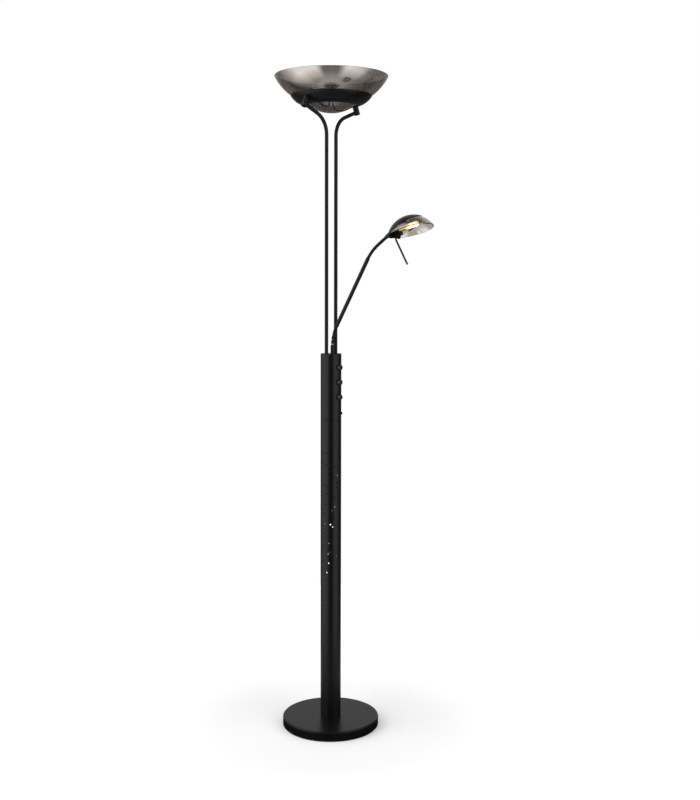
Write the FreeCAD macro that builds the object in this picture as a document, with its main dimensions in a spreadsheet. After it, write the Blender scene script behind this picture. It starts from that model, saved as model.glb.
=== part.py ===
"""Torchiere floor lamp with a reading light, as a parametric assembly.

Millimetres. +Z is up and the origin is the centre of the pad's underside, on the column's axis.
-Y is the front: the dimmer knobs and the reading arm face it. The two uplighter tubes stand in
the plane Y = 0, one on each side.
"""
import FreeCAD, Part
import Sketcher
import math
import os

from FreeCAD import Placement, Rotation, Vector

doc = FreeCAD.newDocument("floor_lamp")
sheet = doc.addObject("Spreadsheet::Sheet", "sizes")
SUBPARTS = []


# ---------------------------------------------------------------- sizes, expressions and builders

class Size:
    """A length, angle or ratio: its number, and the sheet expression that it comes from."""

    def __init__(self, value, text):
        self.value = value
        self.text = text

    def __add__(self, other):
        other = as_size(other)
        return Size(self.value + other.value, f"({self.text} + {other.text})")

    def __sub__(self, other):
        other = as_size(other)
        return Size(self.value - other.value, f"({self.text} - {other.text})")

    def __mul__(self, other):
        other = as_size(other)
        return Size(self.value * other.value, f"({self.text} * {other.text})")

    def __truediv__(self, other):
        other = as_size(other)
        return Size(self.value / other.value, f"({self.text} / {other.text})")

    def __neg__(self):
        return Size(-self.value, f"(-1 * {self.text})")

    def __radd__(self, other):
        return as_size(other) + self

    def __rsub__(self, other):
        return as_size(other) - self

    def __rmul__(self, other):
        return as_size(other) * self


def as_size(number):
    return number if isinstance(number, Size) else Size(float(number), repr(float(number)))


def sin(angle):
    return Size(math.sin(math.radians(angle.value)), f"sin({angle.text})")


def cos(angle):
    return Size(math.cos(math.radians(angle.value)), f"cos({angle.text})")


def tan(angle):
    return Size(math.tan(math.radians(angle.value)), f"tan({angle.text})")


def root(square):
    return Size(math.sqrt(square.value), f"sqrt({square.text})")


def cell(alias, number):
    """Writes one driving dimension into the sheet and returns it as a Size."""
    cell.row += 1
    sheet.set(f"A{cell.row}", alias)
    sheet.set(f"B{cell.row}", str(number))
    sheet.setAlias(f"B{cell.row}", alias)
    return Size(float(number), f"<<sizes>>.{alias}")


cell.row = 0


def bind(thing, prop, size):
    """Binds a property to the sheet."""
    thing.setExpression(prop, as_size(size).text)


def subpart(thing, label):
    """Gives a finished object its node name and lists it for export."""
    thing.Label = label
    SUBPARTS.append(thing)
    return thing


def sketch_on(body, role, name):
    plane = next(item for item in body.Origin.OriginFeatures if item.Role == role)
    sketch = body.newObject("Sketcher::SketchObject", name)
    sketch.AttachmentSupport = [(plane, "")]
    sketch.MapMode = "FlatFace"
    return sketch


def constrain(sketch, kind, where, size):
    """Adds one dimension to a sketch and binds it to the sheet."""
    size = as_size(size)
    dimension = Sketcher.Constraint(kind, *where, size.value)
    dimension.Name = f"size_{sketch.ConstraintCount}"
    sketch.addConstraint(dimension)
    sketch.setExpression(f"Constraints.{dimension.Name}", size.text)


def curve_between(start, end, bend):
    """A line, or with bend = (radius, turn) an arc that turns left (+1) or right (-1).

    Returns the curve and which of its ends, 1 or 2, is the start."""
    first = Vector(start[0].value, start[1].value, 0)
    last = Vector(end[0].value, end[1].value, 0)
    if bend is None:
        return Part.LineSegment(first, last), 1
    radius, turn = bend
    chord = last - first
    left = Vector(-chord.y, chord.x, 0).normalize()
    rise = math.sqrt(max(radius.value ** 2 - (chord.Length / 2) ** 2, 0.0))
    centre = (first + last) / 2 + left * rise * turn
    ring = Part.Circle(centre, Vector(0, 0, 1), radius.value)
    angles = [math.atan2(p.y - centre.y, p.x - centre.x) for p in (first, last)]
    low, high = angles if turn > 0 else reversed(angles)
    if high < low:
        high += 2 * math.pi
    return Part.ArcOfCircle(ring, low, high), (1 if turn > 0 else 2)


def draw(sketch, points, bends=None, closed=True):
    """Draws an outline, or an open path, through points and binds every point and radius."""
    bends = bends or {}
    points = [(as_size(x), as_size(y)) for x, y in points]
    sides = len(points) if closed else len(points) - 1
    starts, ends = [], []
    for side in range(sides):
        bend = bends.get(side)
        curve, start_end = curve_between(points[side], points[(side + 1) % len(points)], bend)
        index = sketch.addGeometry(curve, False)
        starts.append((index, start_end))
        ends.append((index, 3 - start_end))
        if bend:
            constrain(sketch, "Radius", (index,), bend[0])
    for side in range(sides):
        constrain(sketch, "DistanceX", (-1, 1) + starts[side], points[side][0])
        constrain(sketch, "DistanceY", (-1, 1) + starts[side], points[side][1])
        if closed or side + 1 < sides:
            following = starts[(side + 1) % sides]
            sketch.addConstraint(Sketcher.Constraint("Coincident", *ends[side], *following))
    if not closed:
        constrain(sketch, "DistanceX", (-1, 1) + ends[-1], points[-1][0])
        constrain(sketch, "DistanceY", (-1, 1) + ends[-1], points[-1][1])


def draw_circle(sketch, x, y, radius):
    x, y, radius = as_size(x), as_size(y), as_size(radius)
    ring = Part.Circle(Vector(x.value, y.value, 0), Vector(0, 0, 1), radius.value)
    index = sketch.addGeometry(ring, False)
    constrain(sketch, "Radius", (index,), radius)
    constrain(sketch, "DistanceX", (-1, 1, index, 3), x)
    constrain(sketch, "DistanceY", (-1, 1, index, 3), y)


def new_body(name):
    return doc.addObject("PartDesign::Body", name)


def turned(name, points, bends=None):
    """A body turned about its own Z axis from a half section of (radius, height) points."""
    body = new_body(name)
    sketch = sketch_on(body, "XZ_Plane", f"{name}_section")
    draw(sketch, points, bends)
    turning = body.newObject("PartDesign::Revolution", f"{name}_turning")
    turning.Profile = sketch
    turning.ReferenceAxis = (sketch, ["V_Axis"])
    turning.Angle = 360
    return body


def padded(name, points, height, bends=None, role="XY_Plane", midplane=False):
    """A body padded from an outline on one of its origin planes."""
    body = new_body(name)
    sketch = sketch_on(body, role, f"{name}_outline")
    draw(sketch, points, bends)
    pad = body.newObject("PartDesign::Pad", f"{name}_pad")
    pad.Profile = sketch
    bind(pad, "Length", height)
    pad.Midplane = midplane
    return body


def pocket(body, name, role, depth, circles=(), outlines=(), reverse=False):
    """Cuts circles (x, y, radius) and closed outlines from an origin plane into a body."""
    sketch = sketch_on(body, role, f"{name}_outline")
    for circle in circles:
        draw_circle(sketch, *circle)
    for outline in outlines:
        draw(sketch, outline)
    cut = body.newObject("PartDesign::Pocket", name)
    cut.Profile = sketch
    bind(cut, "Length", depth)
    cut.Reversed = reverse
    return cut


def rectangle(x_low, x_high, y_low, y_high):
    return [(x_low, y_low), (x_high, y_low), (x_high, y_high), (x_low, y_high)]


def place(thing, x=0, y=0, z=0, axis=Vector(1, 0, 0), angle=0):
    """Stands a finished object at (x, y, z), turned about an axis, all bound to the sheet."""
    angle = as_size(angle)
    thing.Placement = Placement(Vector(0, 0, 0), Rotation(axis, angle.value or 1e-9))
    for letter, size in (("x", x), ("y", y), ("z", z)):
        bind(thing, f"Placement.Base.{letter}", size)
    if angle.value:
        bind(thing, "Placement.Rotation.Angle", angle)
    return thing


def cylinder(name, radius, height):
    rod = doc.addObject("Part::Cylinder", name)
    bind(rod, "Radius", radius)
    bind(rod, "Height", height)
    return rod


def cut(name, base, tool):
    result = doc.addObject("Part::Cut", name)
    result.Base = base
    result.Tool = tool
    return result


def fuse(name, pieces):
    result = doc.addObject("Part::MultiFuse", name)
    result.Shapes = pieces
    return result


def tube_section(inner, outer, low, high):
    return rectangle(inner, outer, low, high)


# ---------------------------------------------------------------- fits shared by all pieces

touch_gap = cell("touch_gap", 0.3)          # left between surfaces that lie on each other
running_gap = cell("running_gap", 0.05)     # radial clearance of a shaft in its hole
sliding_gap = cell("sliding_gap", 0.15)     # radial clearance of a piece slid into a tube


# ---------------------------------------------------------------- base: pad, cover, weight, screws

base_radius = cell("base_radius", 135)
base_height = cell("base_height", 28)
base_edge = cell("base_edge", 4)
cover_wall = cell("cover_wall", 1.6)
pad_height = cell("pad_height", 3)
pad_inset = cell("pad_inset", 3)
weight_height = cell("weight_height", 19)
cord_hole = cell("cord_hole", 6)
channel_height = cell("channel_height", 15.5)
gland_radius = cell("gland_radius", 5)
gland_flange = cell("gland_flange", 2.5)
gland_height = cell("gland_height", 13)
gland_length = cell("gland_length", 9)

column_radius = cell("column_radius", 28.7)
column_wall = cell("column_wall", 1.5)
column_bore = column_radius - column_wall
foot_height = cell("foot_height", 14)
base_screw_radius = cell("base_screw_radius", 3)
base_screw_circle = cell("base_screw_circle", 17)
base_screw_head = cell("base_screw_head", 5.5)
base_screw_head_height = cell("base_screw_head_height", 4)

pad_top = pad_height
subpart(turned("pad", tube_section(0, base_radius - pad_inset, 0, pad_top)), "base_pad")

inner_edge = base_edge - cover_wall
cover = turned("cover", [
    (cord_hole, base_height), (cord_hole, base_height - cover_wall),
    (base_radius - base_edge, base_height - cover_wall),
    (base_radius - cover_wall, base_height - base_edge), (base_radius - cover_wall, pad_top),
    (base_radius, pad_top), (base_radius, base_height - base_edge),
    (base_radius - base_edge, base_height)],
    {2: (inner_edge, -1), 6: (base_edge, 1)})
screw_spots = [(base_screw_circle * math.cos(math.radians(turn)),
                base_screw_circle * math.sin(math.radians(turn))) for turn in (90, 210, 330)]
pocket(cover, "cover_screw_holes", "XY_Plane", base_height * 2,
       [(x, y, base_screw_radius + sliding_gap) for x, y in screw_spots], reverse=True)
pocket(cover, "cover_gland_hole", "XZ_Plane", base_radius * 2,
       [(0, gland_height, gland_radius)])
subpart(cover, "base_cover")

weight_radius = base_radius - cover_wall - 2 * touch_gap
weight_top = pad_top + weight_height
head_top = pad_top + base_screw_head_height
weight = turned("weight", tube_section(cord_hole, weight_radius, pad_top, weight_top))
pocket(weight, "weight_screw_holes", "XY_Plane", base_height,
       [(x, y, base_screw_radius + sliding_gap) for x, y in screw_spots], reverse=True)
pocket(weight, "weight_screw_seats", "XY_Plane", head_top,
       [(x, y, base_screw_head + 2 * touch_gap) for x, y in screw_spots], reverse=True)
pocket(weight, "cord_channel", "XY_Plane", pad_top + channel_height,
       outlines=[rectangle(-cord_hole, cord_hole, base_screw_circle * 2, base_radius)], reverse=True)
subpart(weight, "base_weight")

# A steel distance ring carries the cover's top on the weight, under the column.
ring_top = base_height - cover_wall
spacer = turned("spacer", tube_section(cord_hole, column_radius, weight_top, ring_top))
pocket(spacer, "spacer_screw_holes", "XY_Plane", base_height * 2,
       [(x, y, base_screw_radius + sliding_gap) for x, y in screw_spots], reverse=True)
subpart(spacer, "base_spacer")

foot_top = base_height + foot_height
foot = turned("foot", tube_section(cord_hole, column_bore - sliding_gap, base_height, foot_top))
pocket(foot, "foot_screw_holes", "XY_Plane", foot_top * 2,
       [(x, y, base_screw_radius + running_gap) for x, y in screw_spots], reverse=True)
subpart(foot, "column_foot")

screw_shapes = []
for number, (x, y) in enumerate(screw_spots):
    screw = turned(f"base_screw_{number}", [
        (0, pad_top), (base_screw_head, pad_top), (base_screw_head, head_top),
        (base_screw_radius, head_top), (base_screw_radius, foot_top), (0, foot_top)])
    screw_shapes.append(place(screw, x, y))
screws = doc.addObject("Part::Compound", "screws")
screws.Links = screw_shapes
subpart(screws, "base_screws")

# The gland faces the back. Its shank sits in the cover's wall and ends in the weight's channel.
gland = turned("gland", [
    (cord_hole / 2, -gland_length), (gland_radius - running_gap, -gland_length),
    (gland_radius - running_gap, 0), (gland_radius + gland_flange, 0),
    (gland_radius + gland_flange, gland_flange), (cord_hole / 2, gland_flange)])
place(gland, 0, base_radius + touch_gap, gland_height, Vector(1, 0, 0), as_size(-90))
subpart(gland, "cable_gland")


# ---------------------------------------------------------------- column: two tubes on a sleeve

column_top = cell("column_top", 1054)
ring_low = cell("ring_low", 867.9)
ring_height = cell("ring_height", 6.9)
sleeve_reach = cell("sleeve_reach", 26)
sleeve_wall = cell("sleeve_wall", 2)
cap_plate = cell("cap_plate", 2.5)
cap_edge = cell("cap_edge", 0.8)
cap_depth = cell("cap_depth", 9)

hole_radius = cell("hole_radius", 1.9)
holes_low = cell("holes_low", 440)
holes_high = cell("holes_high", 786)
HOLE_COUNT = 170
GOLDEN_ANGLE = 137.508      # degrees from each hole to the next, so that no rows show
STRAY_HEIGHT, STRAY_ANGLE = 0.02, 12    # share of the field's height, and degrees, off the pattern

# The lower tube's holes: each is a short radial pin taken out of the wall.
lower_tube = turned("lower_tube", tube_section(column_bore, column_radius, base_height, ring_low))
pins = []
for number in range(HOLE_COUNT):
    share = (number + 0.5) / HOLE_COUNT
    height = holes_low.value + (holes_high.value - holes_low.value) * (
        share + STRAY_HEIGHT * math.cos(7.3 * number))
    turn = math.radians(GOLDEN_ANGLE * number + STRAY_ANGLE * math.sin(2.1 * number))
    way = Vector(math.cos(turn), math.sin(turn), 0)
    start = way * (column_bore.value - column_wall.value) + Vector(0, 0, height)
    pins.append(Part.makeCylinder(hole_radius.value, column_wall.value * 3, start, way))
hole_pins = doc.addObject("Part::Feature", "hole_pins")
hole_pins.Shape = Part.makeCompound(pins)
subpart(cut("pierced_tube", lower_tube, hole_pins), "column_lower")

ring_top_z = ring_low + ring_height
sleeve = turned("sleeve", [
    (column_bore - sliding_gap - sleeve_wall, ring_low - sleeve_reach),
    (column_bore - sliding_gap, ring_low - sleeve_reach), (column_bore - sliding_gap, ring_low),
    (column_radius, ring_low), (column_radius, ring_top_z), (column_bore - sliding_gap, ring_top_z),
    (column_bore - sliding_gap, ring_top_z + sleeve_reach),
    (column_bore - sliding_gap - sleeve_wall, ring_top_z + sleeve_reach)])
subpart(sleeve, "joint_sleeve")

knob_low = cell("knob_low", 935.6)
knob_pitch = cell("knob_pitch", 40.8)
knob_heights = [knob_low + knob_pitch * number for number in (2, 1, 0)]
spindle_radius = cell("spindle_radius", 3)
lock_lift = cell("lock_lift", 14.2)          # from the sleeve's ring up to the lock screw
lock_height = ring_top_z + lock_lift
lock_radius = cell("lock_radius", 2)
lock_angle = cell("lock_angle", 37)

cap_seat = column_top - cap_plate
upper_tube = turned("upper_tube", tube_section(column_bore, column_radius, ring_top_z, cap_seat))
pocket(upper_tube, "spindle_holes", "XZ_Plane", column_radius * 2,
       [(0, height, spindle_radius + touch_gap * 2) for height in knob_heights], reverse=True)
lock_pin = cylinder("lock_pin", lock_radius + sliding_gap, column_radius)
place(lock_pin, column_radius / 2 * sin(lock_angle), -column_radius / 2 * cos(lock_angle), lock_height,
      Vector(math.cos(math.radians(lock_angle.value)), math.sin(math.radians(lock_angle.value)), 0),
      as_size(90))
subpart(cut("upper_tube_cut", upper_tube, lock_pin), "column_upper")

lock_head = cell("lock_head", 3.5)
lock_head_height = cell("lock_head_height", 2.6)
lock = turned("lock", [
    (0, column_bore - sliding_gap), (lock_radius, column_bore - sliding_gap),
    (lock_radius, column_radius + touch_gap), (lock_head, column_radius + touch_gap),
    (lock_head, column_radius + touch_gap + lock_head_height),
    (0, column_radius + touch_gap + lock_head_height)])
place(lock, 0, 0, lock_height,
      Vector(math.cos(math.radians(lock_angle.value)), math.sin(math.radians(lock_angle.value)), 0),
      as_size(90))
subpart(lock, "lock_screw")

uplight_tube_radius = cell("uplight_tube_radius", 5)
uplight_tube_wall = cell("uplight_tube_wall", 1)
uplight_tube_offset = cell("uplight_tube_offset", 18.5)
nut_height = cell("nut_height", 6)
nut_wall = cell("nut_wall", 2.4)            # from a nut's thread to its flats
stub_offset = cell("stub_offset", 6)
nipple_radius = cell("nipple_radius", 4)

cap = turned("cap", [
    (0, column_top - cap_depth), (column_bore - sliding_gap, column_top - cap_depth),
    (column_bore - sliding_gap, cap_seat), (column_radius, cap_seat),
    (column_radius, column_top - cap_edge), (column_radius - cap_edge, column_top), (0, column_top)])
pocket(cap, "cap_holes", "XY_Plane", column_top * 2, [
    (uplight_tube_offset, 0, uplight_tube_radius + running_gap),
    (-uplight_tube_offset, 0, uplight_tube_radius + running_gap),
    (0, -stub_offset, nipple_radius + running_gap)], reverse=True)
subpart(cap, "column_cap")


def hexagon(radius, x=0, y=0):
    """Corners of a hexagon whose flats lie at radius from its centre."""
    corner = as_size(radius) / math.cos(math.radians(30))
    return [(x + corner * math.cos(math.radians(turn)), y + corner * math.sin(math.radians(turn)))
            for turn in range(0, 360, 60)]


cap_under = column_top - cap_depth
nuts = []
for number, (x, y, bore) in enumerate([(uplight_tube_offset, 0, uplight_tube_radius),
                                       (-uplight_tube_offset, 0, uplight_tube_radius),
                                       (0, -stub_offset, nipple_radius)]):
    nut = padded(f"cap_nut_{number}", hexagon(bore + nut_wall), nut_height)
    pocket(nut, f"cap_nut_bore_{number}", "XY_Plane", nut_height,
           [(0, 0, bore + running_gap)], reverse=True)
    nuts.append(place(nut, x, y, cap_under - nut_height))
cap_nuts = doc.addObject("Part::Compound", "cap_nuts")
cap_nuts.Links = nuts
subpart(cap_nuts, "cap_nuts")


# ---------------------------------------------------------------- dimmers, knobs and driver

board_offset = cell("board_offset", 9)
board_thickness = cell("board_thickness", 1.6)
board_margin = cell("board_margin", 18)
board_width = 2 * root((column_bore - 2 * touch_gap) * (column_bore - 2 * touch_gap)
                       - board_offset * board_offset)
board_low = knob_low - board_margin
board_high = knob_heights[0] + board_margin
# The sketch lies in the XZ plane and the pad grows towards -Y.
board = padded("board", rectangle(-board_width / 2, board_width / 2, board_low, board_high),
               board_thickness, role="XZ_Plane")
place(board, 0, board_thickness - board_offset, 0)
subpart(board, "dimmer_board")

dimmer_radius = cell("dimmer_radius", 8)
dimmer_depth = cell("dimmer_depth", 9)
spindle_seat = cell("spindle_seat", 1.5)
dimmer_shapes = []
for number, height in enumerate(knob_heights):
    dimmer = turned(f"dimmer_{number}", [
        (0, 0), (dimmer_radius, 0), (dimmer_radius, dimmer_depth),
        (spindle_radius + running_gap, dimmer_depth), (spindle_radius + running_gap, spindle_seat),
        (0, spindle_seat)])
    dimmer_shapes.append(place(dimmer, 0, -board_offset, height, angle=as_size(90)))
dimmers = doc.addObject("Part::Compound", "dimmers")
dimmers.Links = dimmer_shapes
subpart(dimmers, "dimmers")

knob_radius = cell("knob_radius", 7.7)
knob_length = cell("knob_length", 9)
knob_edge = cell("knob_edge", 2.6)
spindle_end = board_offset + spindle_seat + touch_gap
knob_back = column_radius + touch_gap
knob_front = knob_back + knob_length
for number, height in enumerate(knob_heights, 1):
    knob = turned(f"knob_body_{number}", [
        (0, spindle_end), (spindle_radius, spindle_end), (spindle_radius, knob_back),
        (knob_radius, knob_back), (knob_radius, knob_front - knob_edge),
        (knob_radius - knob_edge, knob_front), (0, knob_front)],
        {4: (knob_edge, 1)})
    subpart(place(knob, 0, 0, height, angle=as_size(90)), f"knob_{number}")

driver_width = cell("driver_width", 30)
driver_depth = cell("driver_depth", 22)
driver_height = cell("driver_height", 100)
driver = padded("driver", rectangle(-driver_width / 2, driver_width / 2, 0, driver_depth),
                driver_height)
place(driver, 0, board_thickness - board_offset, board_low)
subpart(driver, "driver_box")


# ---------------------------------------------------------------- light tube behind the holes

light_radius = cell("light_radius", 13)
light_wall = cell("light_wall", 1)
light_margin = cell("light_margin", 14)
carrier_height = cell("carrier_height", 6)
led_board_width = cell("led_board_width", 18)
led_board_thickness = cell("led_board_thickness", 1.5)
light_low = holes_low - light_margin
light_high = holes_high + light_margin

subpart(turned("diffuser", tube_section(light_radius - light_wall, light_radius,
                                        light_low, light_high)), "light_tube")
socket_depth = carrier_height / 2
carriers = []
for number, (end, way) in enumerate([(light_low, 1), (light_high, -1)]):
    carrier = turned(f"carrier_{number}", [
        (cord_hole, end + socket_depth * way), (cord_hole, end - socket_depth * way),
        (column_bore - sliding_gap, end - socket_depth * way),
        (column_bore - sliding_gap, end + socket_depth * way),
        (light_radius + running_gap, end + socket_depth * way), (light_radius + running_gap, end),
        (light_radius - light_wall - running_gap, end),
        (light_radius - light_wall - running_gap, end + socket_depth * way)])
    carriers.append(carrier)
tube_carriers = doc.addObject("Part::Compound", "tube_carriers")
tube_carriers.Links = carriers
subpart(tube_carriers, "tube_carriers")

led_inner = light_radius - light_wall - touch_gap / 2
led_back = root(led_inner * led_inner - led_board_width * led_board_width / 4)
led_board = padded("led_board", rectangle(-led_board_width / 2, led_board_width / 2,
                                          led_back - led_board_thickness, led_back),
                   light_high - light_low - 2 * socket_depth - 2 * touch_gap)
place(led_board, 0, 0, light_low + socket_depth + touch_gap)
subpart(led_board, "led_strip")


# ---------------------------------------------------------------- uplighter: glass, dish, brackets

total_height = cell("total_height", 1800)
bowl_radius = cell("bowl_radius", 153)
bowl_rim_angle = cell("bowl_rim_angle", 65)
bowl_wall_radius = cell("bowl_wall_radius", 128)
bowl_cone_angle = cell("bowl_cone_angle", 30)
bowl_base_radius = cell("bowl_base_radius", 112)
bowl_thickness = cell("bowl_thickness", 3.5)

dish_hole = cell("dish_hole", 66)
dish_arc_radius = cell("dish_arc_radius", 55)
dish_hole_angle = cell("dish_hole_angle", 2.75)
dish_rim_angle = cell("dish_rim_angle", 58)
dish_thickness = cell("dish_thickness", 1.2)
bracket_seat_angle = cell("bracket_seat_angle", 36)   # the dish's slope where a bracket's axis meets it
bracket_angle = cell("bracket_angle", 22)
bracket_radius = cell("bracket_radius", 8)
bracket_length = cell("bracket_length", 26)
bridge_screw_radius = cell("bridge_screw_radius", 2.5)

# Section of the glass, from outside: rim arc, straight cone, base arc. Inside runs parallel.
knee_radius = bowl_radius - bowl_wall_radius * (sin(bowl_rim_angle) - sin(bowl_cone_angle))
knee_z = total_height - bowl_wall_radius * (cos(bowl_cone_angle) - cos(bowl_rim_angle))
turn_radius = bowl_base_radius * sin(bowl_cone_angle)
turn_z = knee_z - (knee_radius - turn_radius) * tan(bowl_cone_angle)
base_z = turn_z - bowl_base_radius * (1 - cos(bowl_cone_angle))
step_in = bowl_thickness * sin(bowl_cone_angle)
step_up = bowl_thickness * cos(bowl_cone_angle)
bowl = turned("bowl", [
    (0, base_z), (turn_radius, turn_z), (knee_radius, knee_z), (bowl_radius, total_height),
    (bowl_radius - bowl_thickness * sin(bowl_rim_angle), total_height),
    (knee_radius - step_in, knee_z + step_up), (turn_radius - step_in, turn_z + step_up),
    (0, base_z + bowl_thickness)],
    {0: (bowl_base_radius, 1), 2: (bowl_wall_radius, 1),
     4: (bowl_wall_radius - bowl_thickness, -1), 6: (bowl_base_radius - bowl_thickness, -1)})

# The dish's section is one arc. Its inner edge lies touch_gap under the cone of the glass.
dish_inner = dish_arc_radius - dish_thickness
dish_centre = dish_hole - dish_arc_radius * sin(dish_hole_angle)
dish_seat = turn_z + (dish_hole - turn_radius) * tan(bowl_cone_angle) - touch_gap
dish_centre_z = dish_seat + dish_inner * cos(dish_hole_angle)


def on_dish(radius, slope):
    """The point where an arc about the dish's centre, of that radius, has that slope."""
    return dish_centre + radius * sin(slope), dish_centre_z - radius * cos(slope)


dish = turned("dish", [
    on_dish(dish_arc_radius, dish_hole_angle), on_dish(dish_arc_radius, dish_rim_angle),
    on_dish(dish_inner, dish_rim_angle), on_dish(dish_inner, dish_hole_angle)],
    {0: (dish_arc_radius, 1), 2: (dish_inner, -1)})
bracket_seat, bracket_seat_z = on_dish(dish_arc_radius, bracket_seat_angle)


def along_bracket(distance):
    """The point of the right bracket's axis at a distance below the dish's outer face."""
    return bracket_seat + distance * sin(bracket_angle), bracket_seat_z - distance * cos(bracket_angle)


def on_bracket_axis(thing, distance, side):
    """Stands a piece on a bracket's axis, its own +Z towards the lamp; side 1 is +X, -1 is -X."""
    x, z = along_bracket(distance)
    return place(thing, x * side, 0, z, Vector(0, 1, 0), bracket_angle * -side)


# Where the glass's outer and inner faces cross the bracket's axis.
cone_drop = tan(bowl_cone_angle) * sin(bracket_angle) + cos(bracket_angle)
glass_out = (bracket_seat_z - knee_z
             + (knee_radius - bracket_seat) * tan(bowl_cone_angle)) / cone_drop
glass_in = glass_out - bowl_thickness / cos(bowl_cone_angle - bracket_angle)
seat_lean = bracket_seat_angle - bracket_angle
foot_under = cell("bridge_foot_lift", 1.4)
foot_plate = cell("bridge_thickness", 1.5)
foot_distance = glass_in - foot_under
screw_head = cell("bridge_screw_head", 4.5)
screw_head_height = cell("bridge_screw_head_height", 3)
screw_depth = cell("bridge_screw_depth", 9)
spacer_radius = cell("glass_spacer_radius", 5)

bowl_drills, dish_drills, bracket_names = [], [], {1: "right", -1: "left"}
spacers, long_screws = [], []
for side in (1, -1):
    bowl_drill = cylinder(f"bowl_drill_{bracket_names[side]}", bridge_screw_radius + touch_gap * 2,
                          -glass_in * 2)
    bowl_drills.append(on_bracket_axis(bowl_drill, dish_thickness, side))
    dish_drill = cylinder(f"dish_drill_{bracket_names[side]}", bridge_screw_radius + sliding_gap,
                          dish_thickness * 6)
    dish_drills.append(on_bracket_axis(dish_drill, dish_thickness * 2, side))
    slack = spacer_radius * tan(bowl_cone_angle - bracket_angle)
    spacer_low = (dish_thickness / cos(seat_lean) + spacer_radius * tan(seat_lean)
                  + spacer_radius * spacer_radius / (2 * dish_inner))
    spacer = turned(f"spacer_{bracket_names[side]}", tube_section(
        bridge_screw_radius + running_gap, spacer_radius, spacer_low + touch_gap,
        -glass_out - slack - touch_gap))
    spacers.append(on_bracket_axis(spacer, as_size(0), side))
    shank = screw_depth - foot_distance + foot_plate
    screw = turned(f"bridge_screw_{bracket_names[side]}", [
        (0, 0), (bridge_screw_radius, 0), (bridge_screw_radius, shank), (screw_head, shank),
        (screw_head, shank + screw_head_height), (0, shank + screw_head_height)])
    long_screws.append(on_bracket_axis(screw, screw_depth, side))

subpart(cut("bowl_drilled", bowl, fuse("bowl_drills", bowl_drills)), "uplight_bowl")
subpart(cut("dish_drilled", dish, fuse("dish_drills", dish_drills)), "uplight_dish")
spacer_pair = doc.addObject("Part::Compound", "spacer_pair")
spacer_pair.Links = spacers
subpart(spacer_pair, "glass_spacers")
screw_pair = doc.addObject("Part::Compound", "screw_pair")
screw_pair.Links = long_screws
subpart(screw_pair, "bridge_screws")

# Brackets: short cylinders whose top is cut to the dish's curve; each tube ends in one's side.
tube_seat = cell("tube_seat", 18)
bracket_head = bracket_radius * tan(seat_lean) + bracket_radius * bracket_radius / dish_arc_radius
room_radius = dish_arc_radius + touch_gap
screw_bore = bridge_screw_radius + running_gap
room_low, room_low_z = on_dish(room_radius, dish_hole_angle)
room_high, room_high_z = on_dish(room_radius, dish_rim_angle)
for side in (1, -1):
    name = bracket_names[side]
    blank = turned(f"bracket_{name}_blank", [
        (0, -bracket_length), (bracket_radius, -bracket_length), (bracket_radius, bracket_head),
        (screw_bore, bracket_head), (screw_bore, -screw_depth - touch_gap),
        (0, -screw_depth - touch_gap)])
    pocket(blank, f"bracket_{name}_side_hole", "YZ_Plane", bracket_radius * 2,
           [(0, -tube_seat, uplight_tube_radius + running_gap)], reverse=side < 0)
    on_bracket_axis(blank, as_size(0), side)
    room = turned(f"bracket_{name}_room", [
        (room_low, room_low_z), (room_high, room_high_z), (room_low, room_high_z)],
        {0: (room_radius, 1)})
    subpart(cut(f"bracket_{name}_cut", blank, room), f"bracket_{name}")

tube_bend_radius = cell("uplight_tube_bend_radius", 57)
thread_end = cell("thread_end", 0.9)        # how far a tube or nipple shows below its nut
# The tube meets the bracket's axis square to it, tube_seat below the dish.
tube_end_x, tube_end_z = along_bracket(tube_seat)
tube_low = cap_under - nut_height - thread_end
reach = tube_end_x - uplight_tube_offset
rise_turn = 90 - bracket_angle
slant = (reach - tube_bend_radius * (1 - cos(rise_turn))) / sin(rise_turn)
bend_start = tube_end_z - slant * cos(rise_turn) - tube_bend_radius * sin(rise_turn)
for side in (1, -1):
    name = bracket_names[side]
    body = new_body(f"tube_{name}_body")
    path = sketch_on(body, "XZ_Plane", f"tube_{name}_path")
    draw(path, [(uplight_tube_offset, tube_low), (uplight_tube_offset, bend_start),
                (uplight_tube_offset + tube_bend_radius * (1 - cos(rise_turn)),
                 bend_start + tube_bend_radius * sin(rise_turn)),
                (tube_end_x, tube_end_z)], {1: (tube_bend_radius, -1)}, closed=False)
    ring = sketch_on(body, "XY_Plane", f"tube_{name}_ring")
    bind(ring, "AttachmentOffset.Base.z", tube_low)
    draw_circle(ring, uplight_tube_offset, 0, uplight_tube_radius)
    draw_circle(ring, uplight_tube_offset, 0, uplight_tube_radius - uplight_tube_wall)
    pipe = body.newObject("PartDesign::AdditivePipe", f"tube_{name}_pipe")
    pipe.Profile = ring
    pipe.Spine = (path, ["Edge1", "Edge2", "Edge3"])
    place(body, 0, 0, 0, Vector(0, 0, 1), as_size(0 if side > 0 else 180))
    subpart(body, f"uplight_tube_{name}")

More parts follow.
